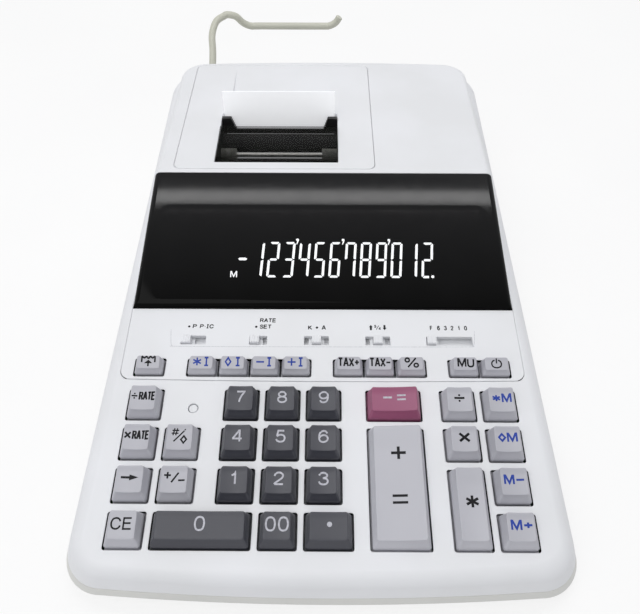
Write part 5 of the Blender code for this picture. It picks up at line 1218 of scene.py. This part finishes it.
def make_housing():
    """Raised housing with its switch slots, function key openings, display seat and printer bay."""
    top = display_profile()
    piece = new_object("housing_shell", housing_form(housing_outline(top), WALL, top))
    core_front = DISPLAY_FOOT_Y + CORE_SETBACK
    under = WALL / math.cos(SLOPE_ANGLE) + CLEARANCE
    inner_top = (
        (core_front, seat_height(core_front) - under),
        (SLOPE_END_Y, seat_height(SLOPE_END_Y) - under),
        (WINDOW_REAR_Y + WALL, seat_height(WINDOW_REAR_Y + WALL) - under),
        (SLOPE_END_Y + SHOULDER_RUN, HOUSING_TOP - WALL),
    )
    carve(piece, housing_form(housing_outline(inner_top, core_front, WALL), WALL + OVERRUN, inner_top))
    ledge_top = HOUSING_TOP - WALL - CLEARANCE
    ledge = bmesh.new()
    block(ledge, grown(COVER_X, COVER_LEDGE / 2), grown(COVER_Y, CLEARANCE),
          (ledge_top - COVER_LEDGE_THICKNESS, HOUSING_TOP - WALL / 2), COVER_ROUND)
    carve(piece, ledge, "UNION")
    carve(piece, window_block(CLEARANCE))
    seat = bmesh.new()
    loops = []
    levels = ((SEAM_GAP, ledge_top), (SEAM_GAP, HOUSING_TOP - SEAM_EDGE),
              (SEAM_GAP + SEAM_EDGE, HOUSING_TOP), (SEAM_GAP + SEAM_EDGE, HOUSING_TOP + OVERRUN))
    for gap, z in levels:
        plan = rectangle(grown(COVER_X, gap), grown(COVER_Y, gap), COVER_ROUND, FINE_PLAN_STEPS)
        loops.append([(x, y, z) for x, y in plan])
    stack(seat, loops)
    carve(piece, seat)
    wells = bmesh.new()
    rooms = bmesh.new()
    for name in SWITCHES:
        block(wells, *switch_well(name, WELL_WALL), (-WALL - PLATE_ROOM - WELL_WALL, -WALL / 2), matrix=DECK)
        block(rooms, *switch_well(name, 0.0), (-WALL - PLATE_ROOM, -WALL), matrix=DECK)
    carve(piece, wells, "UNION")
    carve(piece, rooms)
    holes = bmesh.new()
    block(holes, grown(COVER_X, -COVER_LEDGE), grown(COVER_Y, -COVER_LEDGE),
          (ledge_top - COVER_LEDGE_THICKNESS - OVERRUN, ledge_top + OVERRUN), COVER_ROUND)
    for names in FUNCTION_GROUPS:
        ends = [key_opening(name) for name in (names[0], names[-1])]
        opening(holes, (ends[0][0][0], ends[1][0][1]), ends[0][1], WALL + OVERRUN, OPENING_ROUND)
    block(holes, SCREEN_X, SCREEN_U, (-WINDOW_THICKNESS - 2 * WALL, -WINDOW_THICKNESS + OVERRUN),
          matrix=SLOPE)
    for name in SWITCHES:
        opening(holes, switch_slot(name), (SWITCH_S - SLOT_LENGTH / 2, SWITCH_S + SLOT_LENGTH / 2),
                WALL + OVERRUN, SLOT_ROUND, SLOT_EDGE)
    carve(piece, holes)
    complete(piece, "case", ["white", "gap_shade"], ["upper_housing"])
    # Painted shade: the walls of the function key openings turn black, for the shade deep in the gaps
    paint_gap_shade(piece, FUNCTION_ROW_S)


def make_window():
    """Black display panel that follows the housing over its lip and shoulder, sunk inside a soft border."""
    top = display_profile()
    piece = new_object("display_panel", housing_form(housing_outline(top), WALL, top))
    carve(piece, window_block(0.0), "INTERSECT")
    recess = bmesh.new()
    loops = []
    for i in range(PANEL_STEPS + 1):
        share = i / PANEL_STEPS
        rise = (PANEL_SINK + CLEARANCE / 10) * soft_step(share) - PANEL_SINK
        plan = rectangle(grown(PANEL_X, PANEL_SOFT * share), grown(PANEL_U, PANEL_SOFT * share),
                         PANEL_ROUND + PANEL_SOFT * share, FINE_PLAN_STEPS)
        loops.append([(x, u, rise) for x, u in plan])
    stack(recess, loops, SLOPE)
    carve(piece, recess)
    return complete(piece, "case", ["panel"], ["display_window"])


def make_cover():
    """White cover over the printer, with a rounded edge, the print window and the paper ramp."""
    bm = bmesh.new()
    block(bm, COVER_X, COVER_Y, (HOUSING_TOP - WALL, HOUSING_TOP), COVER_ROUND, COVER_EDGE,
          steps=FINE_PLAN_STEPS)
    piece = new_object("printer_cover_shell", bm)
    start = PRINT_Y[1]
    end = start + RAMP_LENGTH
    pan = bmesh.new()
    prism(pan, ((start, HOUSING_TOP - RAMP_DEPTH - WALL), (end, HOUSING_TOP - WALL / 2),
                (start, HOUSING_TOP - WALL / 2)), *grown(RAMP_X, WALL))
    carve(piece, pan, "UNION")
    ramp = bmesh.new()
    prism(ramp, ((start - OVERRUN, HOUSING_TOP - RAMP_DEPTH * (1 + OVERRUN / RAMP_LENGTH)),
                 (end, HOUSING_TOP), (end, HOUSING_TOP + RAMP_DEPTH),
                 (start - OVERRUN, HOUSING_TOP + RAMP_DEPTH)), *RAMP_X)
    carve(piece, ramp)
    window = bmesh.new()
    opening(window, PRINT_X, PRINT_Y, RAMP_DEPTH + 2 * WALL, PRINT_ROUND, PRINT_EDGE,
            Matrix.Translation((0.0, 0.0, HOUSING_TOP)))
    carve(piece, window)
    return complete(piece, "cover", ["white"], ["printer_cover"])


def make_pane():
    """Smoked pane over the print window. Its rear edge is the saw that tears the paper."""
    front = PRINT_Y[0] + CLEARANCE
    rear = front + PANE_LENGTH
    low = HOUSING_TOP - PANE_FRONT_SINK
    high = HOUSING_TOP + PANE_REAR_RISE
    bm = bmesh.new()
    prism(bm, ((front, low), (rear, high), (rear, high + PANE_THICKNESS / 2),
               (rear - PANE_THICKNESS, high + PANE_THICKNESS), (front, low + PANE_THICKNESS)),
          *grown(PRINT_X, -CLEARANCE))
    return complete(new_object("tear_pane", bm), "cover", ["pane"], ["tear_bar"], smooth=0.0)


def rim_sides(half_x, front, rear, radius, across_steps, along_steps):
    """Four sides of a rounded rectangle, between the middles of its corners, as lists of (x, s)."""
    corner = KEY_CORNER_STEPS

    def side(half, steps):
        flat = half - radius
        places = []
        for i in range(corner):
            turn = math.pi / 4 * (1 + i / corner)
            places.append((-flat - radius * math.cos(turn), radius * (1 - math.sin(turn))))
        straight = steps - 2 * corner
        places += [(-flat + 2 * flat * i / straight, 0.0) for i in range(straight + 1)]
        places += [(-u, v) for u, v in reversed(places[:corner])]
        return places

    half_s = (rear - front) / 2
    middle = (rear + front) / 2
    wide = side(half_x, across_steps)
    long = side(half_s, along_steps)
    near = [(u, front + v) for u, v in wide]
    far = [(u, rear - v) for u, v in wide]
    left = [(-half_x + v, middle + u) for u, v in long]
    right = [(half_x - v, middle + u) for u, v in long]
    return near, right, far, left


def soft_step(share):
    """Goes softly from 0 to 1 as the share does, and stays level outside."""
    share = min(1.0, max(0.0, share))
    return share * share * (3 - 2 * share)


def make_key(name):
    """Sprung cap: a skirt, sides that lean in and a top that is dished across its width."""
    colour, ink, marks = KEYS[name]
    shape = MAIN_TOP
    if name in FUNCTION_KEYS:
        shape = SMALL_TOP
    elif name in FRONT_ROW:
        shape = FRONT_ROW_TOP
    x, s = key_opening(name)
    half_x = (x[1] - x[0]) / 2 - KEY_GAP - KEY_SLIMMER
    half_s = (s[1] - s[0]) / 2 - KEY_GAP - KEY_SLIMMER
    centre = Vector(((x[0] + x[1]) / 2, (s[0] + s[1]) / 2, 0.0))
    steps = [max(KEY_LEAST_CELLS, round(half * 2 / KEY_CELL) // 2 * 2) for half in (half_x, half_s)]
    top_half = half_x - shape.side
    front = shape.front - half_s
    rear = half_s - shape.rear
    lean = KEY_LEANS.get(name, 0.0)

    def top_height(px, ps):
        # The lip rises over the rear quarter
        along = (ps - front) / (rear - front)
        dish = shape.front_scoop + (shape.rear_scoop - shape.front_scoop) * along
        return (shape.low + (shape.high - shape.low) * along + shape.lip * soft_step(4 * along - 3)
                + dish * (px / top_half) ** 2 + lean * px / top_half)

    def ring(half, front_at, rear_at, corner, height):
        sides = rim_sides(half, front_at, rear_at, corner, *steps)
        near, right, far, left = sides
        plan = near[:-1] + right[:-1] + far[:0:-1] + left[:0:-1]
        return sides, [(px, ps, height(px, ps)) for px, ps in plan]

    flange = FLANGE_REACH + KEY_GAP + KEY_SLIMMER
    rings = []
    for height, grow_x, grow_s in ((FLANGE_BOTTOM, KEY_SLIMMER, flange), (FLANGE_TOP, KEY_SLIMMER, flange),
                                   (FLANGE_TOP, 0.0, 0.0), (SKIRT_RISE, 0.0, 0.0)):
        rings.append(ring(half_x + grow_x, -half_s - grow_s, half_s + grow_s, KEY_ROUND,
                          lambda px, ps, height=height: height))
    for share in SIDE_SHARES:
        lean_in = (1 - SIDE_CURVE_SHARE) * share + SIDE_CURVE_SHARE * soft_step(share)
        rings.append(ring(
            half_x - shape.side * lean_in, shape.front * lean_in - half_s,
            half_s - shape.rear * lean_in, KEY_ROUND,
            lambda px, ps, share=share: SKIRT_RISE + share * (top_height(px, ps) - KEY_EDGE - SKIRT_RISE)))
    for turn in quarter_turns(KEY_EDGE_STEPS)[1:]:
        inset = 1 - math.cos(turn)
        rings.append(ring(
            top_half - KEY_EDGE * inset, front + shape.soft * inset, rear - KEY_EDGE * inset, KEY_ROUND,
            lambda px, ps, turn=turn: top_height(px, ps) - KEY_EDGE * (1 - math.sin(turn))))
    bm = bmesh.new()
    loops = [[bm.verts.new(point) for point in points] for sides, points in rings]
    for lower, upper in zip(loops, loops[1:]):
        bridge(bm, lower, upper)
    bm.faces.new(list(reversed(loops[0])))
    fill_top(bm, rings[-1][0], loops[-1], steps, top_height)
    bm.transform(DECK @ Matrix.Translation(centre))
    complete(new_object(name + "_keycap", bm), name + "_cap", [colour], [name], KEY_SMOOTH_ANGLE)

    middle = (front + rear) / 2
    legend = bmesh.new()
    for mark in marks:
        draw_signs(legend, *mark)
    for vert in legend.verts:
        vert.co.z += top_height(vert.co.x, vert.co.y + middle)
    legend.transform(DECK @ Matrix.Translation(centre + Vector((0.0, middle, 0.0))))
    complete(new_object(name.replace("key", "legend"), legend), name + "_cap", [ink], smooth=0.0)


def fill_top(bm, sides, loop, steps, height):
    """Grid of faces inside the last loop, blended between its four sides."""
    near, right, far, left = sides
    n, m = steps
    grid = {}
    for i in range(n + 1):
        grid[i, 0] = loop[i]
        grid[i, m] = loop[(2 * n + m - i) % len(loop)]
    for j in range(m + 1):
        grid[n, j] = loop[n + j]
        grid[0, j] = loop[(2 * n + 2 * m - j) % len(loop)]
    for i in range(1, n):
        for j in range(1, m):
            u, v = i / n, j / m
            place = []
            for k in (0, 1):
                place.append((1 - v) * near[i][k] + v * far[i][k] + (1 - u) * left[j][k] + u * right[j][k]
                             - (1 - u) * (1 - v) * near[0][k] - u * (1 - v) * near[n][k]
                             - (1 - u) * v * far[0][k] - u * v * far[n][k])
            grid[i, j] = bm.verts.new((*place, height(*place)))
    for i in range(n):
        for j in range(m):
            bm.faces.new((grid[i, j], grid[i + 1, j], grid[i + 1, j + 1], grid[i, j + 1]))


def smooth_path(points, steps, closed=False):
    """Points of a curve that runs smoothly through the given ones."""
    padded = [points[-1], *points, *points[:2]] if closed else [points[0], *points, points[-1]]
    path = []
    for before, start, end, after in zip(padded, padded[1:], padded[2:], padded[3:]):
        for i in range(steps):
            t = i / steps
            path.append((2 * start + (end - before) * t + (2 * before - 5 * start + 4 * end - after) * t ** 2
                         + (3 * start - before - 3 * end + after) * t ** 3) / 2)
    return path if closed else [*path, points[-1]]


def straight_path(points, closed):
    """Points on straight lines, close enough together to follow a dished surface."""
    path = []
    for start, end in zip(points, [*points[1:], points[0]] if closed else points[1:]):
        steps = max(1, math.ceil((end - start).length / STROKE_STEP))
        path += [start.lerp(end, i / steps) for i in range(steps)]
    return path if closed else [*path, points[-1]]


def ink_ribbon(bm, path, width, closed, rise):
    """Stroke of even width along a path, a little proud of the surface that it is printed on."""
    count = len(path)
    loops = []
    for i, point in enumerate(path):
        before = path[i - 1] if closed or i > 0 else 2 * path[0] - path[1]
        after = path[(i + 1) % count] if closed or i < count - 1 else 2 * path[-1] - path[-2]
        arriving = (point - before).normalized()
        leaving = (after - point).normalized()
        normal = Vector((-leaving.y, leaving.x, 0.0))
        side = (normal + Vector((-arriving.y, arriving.x, 0.0))).normalized()
        reach = side * width / 2 / max(MITRE_LIMIT, side.dot(normal))
        loops.append([bm.verts.new(point + reach * way + Vector((0.0, 0.0, height)))
                      for way, height in ((1, rise), (-1, rise), (-1, -INK_SINK), (1, -INK_SINK))])
    for start, end in zip(loops, loops[1:] + loops[:1] if closed else loops[1:]):
        bridge(bm, start, end)
    if not closed:
        bm.faces.new(loops[0])
        bm.faces.new(list(reversed(loops[-1])))


def ink_patch(bm, outline, rise):
    """Flat printed area inside an outline."""
    stack(bm, [[(x, y, height) for x, y in outline] for height in (-INK_SINK, rise)])


def draw_signs(bm, words, x, y, height, width, stroke, slant=0.0):
    """Prints signs side by side, centred on (x, y). All sizes are in millimetres; slant is a slope."""
    strokes = []
    left = 0.0
    for sign in words:
        drawn = []
        for stroke_text in GLYPHS[sign].split(" | "):
            kind, *places = stroke_text.split()
            numbers = [[float(number) for number in place.split(",")] for place in places]
            radius = numbers[0][2] if kind == "." else 0.0
            drawn.append((kind, [(left + place[0], place[1]) for place in numbers], radius))
        strokes += drawn
        left = SIGN_GAP + max(point[0] + radius for kind, points, radius in drawn for point in points)
    scale = []
    middle = []
    for axis, size in ((0, width), (1, height)):
        low = min(point[axis] - radius for kind, points, radius in strokes for point in points)
        high = max(point[axis] + radius for kind, points, radius in strokes for point in points)
        scale.append((size - stroke) * MM / (high - low) if high > low else 0.0)
        middle.append((low + high) / 2)
    for number, (kind, points, radius) in enumerate(strokes):
        placed = []
        for across_at, up_at in points:
            up = (up_at - middle[1]) * scale[1]
            along = (across_at - middle[0]) * scale[0] + slant * up
            placed.append(Vector((x * MM + along, y * MM + up, 0.0)))
        rise = INK_RISE + number * INK_LAYER
        closed = kind in "lo"
        if kind == ".":
            reach = radius * scale[1]
            ink_patch(bm, [(placed[0].x + reach * math.cos(turn), placed[0].y + reach * math.sin(turn))
                           for turn in DOT_TURNS], rise)
        elif kind == "f":
            ink_patch(bm, [(point.x, point.y) for point in placed], rise)
        elif kind in "~o":
            ink_ribbon(bm, smooth_path(placed, STROKE_CURVE_STEPS, closed), stroke * MM, closed, rise)
        else:
            ink_ribbon(bm, straight_path(placed, closed), stroke * MM, closed, rise)
    bmesh.ops.recalc_face_normals(bm, faces=bm.faces)


def make_case_marks():
    """Black marks beside the switches, and the fine line round them."""
    marks = bmesh.new()
    for mark in CASE_MARKS:
        draw_signs(marks, *mark)
    marks.transform(DECK)
    complete(new_object("switch_marks", marks), "case", [INK_BLACK], smooth=0.0)
    line = bmesh.new()
    corners = [Vector((px * MM, ps * MM, 0.0)) for px, ps in SWITCH_BORDER]
    route = straight_path(smooth_path(corners, BORDER_CURVE_STEPS), False)
    ink_ribbon(line, route, BORDER_WIDTH, False, INK_RISE)
    bmesh.ops.recalc_face_normals(line, faces=line.faces)
    line.transform(DECK)
    complete(new_object("switch_border", line), "case", [INK_FAINT], smooth=0.0)


def segment_outlines():
    """Outline of each segment, a to g, of an upright digit whose lower left corner is at (0, 0)."""
    w, h, t = DIGIT_WIDTH, DIGIT_HEIGHT, SEGMENT
    bevel = t * SEGMENT_BEVEL_SHARE
    gap = SEGMENT_GAP
    bar = [(t + gap, h - t), (w - t - gap, h - t), (w - bevel / 2 - gap, h - bevel / 2), (w - bevel - gap, h),
           (bevel + gap, h), (bevel / 2 + gap, h - bevel / 2)]
    post = [(w - t, h - t - gap), (w - bevel / 2, h - bevel / 2 - gap), (w, h - bevel - gap),
            (w, h / 2 + t / 4 + gap), (w - t / 4, h / 2 + gap), (w - t, h / 2 + t / 2 + gap)]
    middle = [(t / 2 + gap, h / 2), (t + gap, h / 2 + t / 2), (w - t - gap, h / 2 + t / 2),
              (w - t / 2 - gap, h / 2), (w - t - gap, h / 2 - t / 2), (t + gap, h / 2 - t / 2)]
    return {"a": bar, "b": post, "c": [(x, h - y) for x, y in post], "d": [(x, h - y) for x, y in bar],
            "e": [(w - x, h - y) for x, y in post], "f": [(w - x, y) for x, y in post], "g": middle}


def make_display_signs():
    """The number, its marks and the memory sign that show in the panel."""
    bm = bmesh.new()
    outlines = segment_outlines()
    for place, digit in enumerate(DISPLAY_DIGITS):
        left = DIGIT_LEFT + DIGIT_PITCH * place
        # The foot of the last digit is cut short for the decimal point
        room = POINT_ROOM if place == len(DISPLAY_DIGITS) - 1 else 0.0
        for segment in LIT_SEGMENTS[digit]:
            reach = DIGIT_WIDTH - (room if segment == "d" else 0.0)
            ink_patch(bm, [(left + min(x, reach) + DIGIT_SLANT * y, DIGIT_FOOT + y)
                           for x, y in outlines[segment]], INK_RISE)
    for mark in DISPLAY_MARKS:
        draw_signs(bm, *mark)
    bmesh.ops.recalc_face_normals(bm, faces=bm.faces)
    bm.transform(SLOPE @ Matrix.Translation((0.0, 0.0, -PANEL_SINK)))
    complete(new_object("display_signs", bm), "case", ["segments"], smooth=0.0)


def sweep(bm, path, radius, edge):
    """Round wire along a path, both ends rounded off by `edge`."""
    first = (path[1] - path[0]).normalized()
    last = (path[-1] - path[-2]).normalized()
    caps = [(edge * (1 - math.cos(turn)), radius - edge * (1 - math.sin(turn)))
            for turn in quarter_turns(END_STEPS)]
    stations = [(path[0] + first * deep, first, reach) for deep, reach in caps]
    for before, point, after in zip(path, path[1:], path[2:]):
        stations.append((point, (after - before).normalized(), radius))
    stations += [(path[-1] - last * deep, last, reach) for deep, reach in reversed(caps)]
    side = first.orthogonal()
    loops = []
    for point, along, reach in stations:
        side = (side - along * side.dot(along)).normalized()
        up = along.cross(side)
        loops.append([bm.verts.new(point + reach * (math.cos(turn) * side + math.sin(turn) * up))
                      for turn in WIRE_TURNS])
    for start, end in zip(loops, loops[1:]):
        bridge(bm, start, end)
    bm.faces.new(loops[0])
    bm.faces.new(loops[-1])
    bmesh.ops.recalc_face_normals(bm, faces=bm.faces)


def make_arm():
    """Bent arm that holds the paper roll, as one smooth round wire."""
    bm = bmesh.new()
    route = smooth_path([Vector(point) * MM for point in ARM_ROUTE], ARM_CURVE_STEPS)
    sweep(bm, route, ARM_WIRE_RADIUS, ARM_END_EDGE)
    bm.transform(Matrix.Translation((ARM_ORIGIN_X, ARM_HINGE_Y, ARM_HINGE_Z)))
    complete(new_object("arm_wire", bm), "arm", ["arm"], ["paper_arm"], ARM_SMOOTH_ANGLE)


def copies(name, places, shape, finish, turn=0.0):
    """Body made of the same shape at many places, each copy turned about Z by up to `turn`."""
    tree = bpy.data.node_groups.new(name, "GeometryNodeTree")
    kinds = {"Places": "NodeSocketGeometry", "Shape": "NodeSocketObject", "Finish": "NodeSocketMaterial",
             "Turn": "NodeSocketFloat", "Seed": "NodeSocketInt"}
    sockets = {label: tree.interface.new_socket(name=label, in_out="INPUT", socket_type=kind).identifier
               for label, kind in kinds.items()}
    tree.interface.new_socket(name="Copies", in_out="OUTPUT", socket_type="NodeSocketGeometry")
    given = add_node(tree, "NodeGroupInput")
    body = add_node(tree, "GeometryNodeObjectInfo", inputs={"Object": given.outputs["Shape"]})
    spin = add_node(tree, "FunctionNodeRandomValue", {"data_type": "FLOAT"}, {
        2: 0.0, 3: given.outputs["Turn"], "Seed": given.outputs["Seed"]})
    about = add_node(tree, "ShaderNodeCombineXYZ", inputs={"Z": spin.outputs[1]})
    placed = add_node(tree, "GeometryNodeInstanceOnPoints", inputs={
        "Points": given.outputs["Places"], "Instance": body.outputs["Geometry"],
        "Rotation": about.outputs[0]})
    real = add_node(tree, "GeometryNodeRealizeInstances", inputs={0: placed.outputs[0]})
    dressed = add_node(tree, "GeometryNodeSetMaterial", inputs={
        "Geometry": real.outputs[0], "Material": given.outputs["Finish"]})
    add_node(tree, "NodeGroupOutput", inputs={0: dressed.outputs[0]})
    points = bmesh.new()
    for place in places:
        points.verts.new(place)
    made = new_object(name, points)
    pattern = new_object(name + "_shape", shape)
    modifier = made.modifiers.new("copies", "NODES")
    modifier.node_group = tree
    modifier[sockets["Shape"]] = pattern
    modifier[sockets["Finish"]] = MATERIALS[finish]
    modifier[sockets["Turn"]] = turn
    modifier[sockets["Seed"]] = COPY_SEED
    plain_mesh(made)
    bpy.data.objects.remove(pattern)
    return made


def join_copies(bm, made):
    """Adds the mesh of some copies to a body and drops their own object."""
    bm.from_mesh(made.data)
    bpy.data.objects.remove(made)


def make_switch(name):
    """Slide switch: a thin plate under the slot and a knob with grip ribs that stands up through it."""
    points = deck_points(name)
    low, high = box_of(points)
    knob_low, knob_high = box_of([point for point in points if point.z > 0.0])
    x, s = (knob_low.x, knob_high.x), (knob_low.y, knob_high.y)
    top = knob_high.z
    bm = bmesh.new()
    block(bm, (low.x, high.x), (low.y, high.y), (low.z, SWITCH_PLATE_TOP))
    block(bm, x, s, (SWITCH_PLATE_TOP - CLEARANCE, top - RIB_RISE), KNOB_ROUND, KNOB_ROUND)
    rib = bmesh.new()
    block(rib, (-RIB_WIDTH / 2, RIB_WIDTH / 2), grown(s, -KNOB_ROUND), (top - 2 * RIB_RISE, top), 0.0,
          RIB_RISE / 2)
    middle = (x[0] + x[1]) / 2
    places = [(middle + i * RIB_STEP, 0.0, 0.0) for i in (-1, 0, 1)]
    join_copies(bm, copies(name + "_ribs", places, rib, "white"))
    bm.transform(DECK)
    complete(new_object(name + "_knob", bm), name + "_slider", ["white"], [name])


def make_reset():
    """Recessed button: a flange under the deck and a cap with a small dimple for a pen."""
    low, high = box_of(deck_points("reset_button"))
    centre = (low + high) / 2
    reach = (high.x - low.x) / 2
    bm = bmesh.new()
    cap = [(reach, low.z), (reach, RESET_FLANGE_TOP), (RESET_RADIUS, RESET_FLANGE_TOP),
           (RESET_RADIUS, high.z - RESET_EDGE), (RESET_RADIUS - RESET_EDGE, high.z)]
    cap += [(radius, high.z - deep) for radius, deep in RESET_DIMPLE]
    turned(bm, cap, DECK @ Matrix.Translation((centre.x, centre.y, 0.0)))
    complete(new_object("reset_cap", bm), "reset", ["white"], ["reset_button"])


def make_screws():
    """Six cross-head screws in the recesses under the case, each stopped at its own angle."""
    seat = FOOT_HEIGHT + SCREW_RECESS - SCREW_GAP
    head = bmesh.new()
    run, rise = SCREW_HEAD_EDGE
    turned(head, ((SCREW_RADIUS - run, seat - SCREW_HEAD), (SCREW_RADIUS, seat - SCREW_HEAD + rise),
                  (SCREW_RADIUS, seat), (SCREW_SHANK, seat), (SCREW_SHANK, seat + SCREW_REACH)), Matrix())
    pattern = new_object("screw_pattern", head)
    for half_x, half_y in ((SCREW_SLOT, SCREW_SLOT_WIDTH), (SCREW_SLOT_WIDTH, SCREW_SLOT)):
        slot = bmesh.new()
        block(slot, (-half_x, half_x), (-half_y, half_y),
              (seat - SCREW_HEAD - OVERRUN, seat - SCREW_HEAD / 3))
        carve(pattern, slot)
    screw = bmesh.new()
    screw.from_mesh(pattern.data)
    bpy.data.objects.remove(pattern)
    made = copies("case_screws", [(x, y, 0.0) for x, y in SCREW_PLACES], screw, "screw", math.pi)
    complete(made, "case", ["screw"])


def make_print_shaft():
    """Steel rod that drives the paper, with a ribbed rubber collar at each end."""
    place = across(PRINT_SHAFT_Y, PRINT_SHAFT_Z)
    left, right = SHAFT_X
    rod = bmesh.new()
    turned(rod, ((SHAFT_RADIUS - SHAFT_EDGE, left), (SHAFT_RADIUS, left + SHAFT_EDGE),
                 (SHAFT_RADIUS, right - SHAFT_EDGE), (SHAFT_RADIUS - SHAFT_EDGE, right)), place)
    complete(new_object("shaft_rod", rod), "print_rollers", ["steel"], ["print_shaft"])
    collars = bmesh.new()
    places = []
    for start in (PRINT_X[0], PRINT_X[1] - COLLAR_LENGTH):
        core = COLLAR_RADIUS - COLLAR_RIB
        turned(collars, ((core, start), (core, start + COLLAR_LENGTH)), place)
        count = round(COLLAR_LENGTH / COLLAR_STEP)
        places += [(start + COLLAR_LENGTH * (i + 0.5) / count, PRINT_SHAFT_Y, PRINT_SHAFT_Z)
                   for i in range(count)]
    disc = bmesh.new()
    width = COLLAR_STEP / 4
    foot = COLLAR_RADIUS - COLLAR_RIB * 1.5
    turned(disc, ((foot, -width), (COLLAR_RADIUS, -width / 2), (COLLAR_RADIUS, width / 2), (foot, width)),
           across(0.0, 0.0), COLLAR_TURN_STEPS)
    join_copies(collars, copies("collar_ribs", places, disc, "collar"))
    complete(new_object("shaft_collars", collars), "print_rollers", ["collar"])


def make_guide_bar():
    """Black bar in front of the paper, between the two guides under the pane."""
    bm = bmesh.new()
    block(bm, grown(PRINT_X, -CLEARANCE), GUIDE_BAR_Y, GUIDE_BAR_Z, GUIDE_BAR_EDGE, GUIDE_BAR_EDGE)
    complete(new_object("paper_guide_bar", bm), "case", ["frame"])


def make_stage():
    """Plain pale floor that is nearly white to the eye and keeps the object's shadow."""
    bm = bmesh.new()
    bm.faces.new([bm.verts.new((FLOOR_REACH * x, FLOOR_REACH * y, 0.0))
                  for x, y in ((-1, -1), (1, -1), (1, 1), (-1, 1))])
    floor = new_object("floor", bm)
    material, tree, shader = new_material("pale_floor", Roughness=0.9, IOR=1.3)
    dress(tree, shader, (blotches(tree, 150 * MM, 3.0), "F6F6F6", "FBFBFB"))
    share = add_node(tree, "ShaderNodeMath", {"operation": "MULTIPLY"}, {
        0: seen_directly(tree), 1: FLOOR_WHITE_SHARE})
    white = add_node(tree, "ShaderNodeEmission", inputs={"Color": linear("FFFFFF"), "Strength": 1.0})
    mix = add_node(tree, "ShaderNodeMixShader", inputs={
        0: share.outputs[0], 1: shader.outputs[0], 2: white.outputs[0]})
    tree.links.new(mix.outputs[0], tree.nodes["Material Output"].inputs["Surface"])
    floor.data.materials.append(material)


def make_light():
    """Soft light from above and in front, at the level where a colour renders as it is written."""
    world = bpy.data.worlds.new("studio")
    bpy.context.scene.world = world
    world.use_nodes = True
    tree = world.node_tree
    soft = tree.nodes["Background"]
    soft.inputs["Color"].default_value = linear(SKY_COLOUR)
    soft.inputs["Strength"].default_value = SKY_LEVEL
    white = add_node(tree, "ShaderNodeBackground", inputs={"Color": linear("FFFFFF"), "Strength": 1.0})
    mix = add_node(tree, "ShaderNodeMixShader", inputs={
        0: seen_directly(tree), 1: soft.outputs[0], 2: white.outputs[0]})
    tree.links.new(mix.outputs[0], tree.nodes["World Output"].inputs["Surface"])
    for name, (place, size, power) in LAMPS.items():
        lamp = bpy.data.lights.new(name, "AREA")
        lamp.shape = "RECTANGLE"
        lamp.size, lamp.size_y = size
        lamp.energy = power
        holder = bpy.data.objects.new(name, lamp)
        bpy.context.scene.collection.objects.link(holder)
        holder.location = place
        holder.rotation_euler = (-Vector(place)).to_track_quat("-Z", "Y").to_euler()


def make_camera():
    """Camera fitted to the photograph: a 37 mm lens, above and in front of the keyboard."""
    lens = bpy.data.cameras.new("camera")
    lens.sensor_width = 36.0
    lens.sensor_fit = "HORIZONTAL"
    lens.lens = LENS
    lens.clip_start = 0.01
    camera = bpy.data.objects.new("camera", lens)
    bpy.context.scene.collection.objects.link(camera)
    camera.location = Vector(CAMERA_PLACE) + Vector((0.0, FRONT_Y, 0.0))
    camera.rotation_euler = [math.radians(turn) for turn in CAMERA_TURN]
    bpy.context.scene.camera = camera


def dress_solids():
    """Materials of the solids that keep their own shape."""
    finishes = {
        "display_module": "board", "printer_frame": "frame", "platen_roller": "rubber",
        "paper_strip": "paper", "circuit_board": "board", "key_mat": "mat", "transformer": "core",
        "rubber_foot_front": "rubber", "rubber_foot_rear": "rubber",
    }
    for name, finish in finishes.items():
        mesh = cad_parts[name].data
        mesh.materials.clear()
        mesh.materials.append(MATERIALS[finish])


def make_calculator():
    make_case()
    make_tray()
    make_housing()
    make_window()
    make_cover()
    make_pane()
    make_display_signs()
    for name in KEYS:
        make_key(name)
    for name in SWITCHES:
        make_switch(name)
    make_case_marks()
    make_reset()
    make_screws()
    make_print_shaft()
    make_guide_bar()
    make_arm()
    dress_solids()


bpy.context.scene.view_settings.view_transform = "Standard"
make_calculator()
make_stage()
make_light()
make_camera()
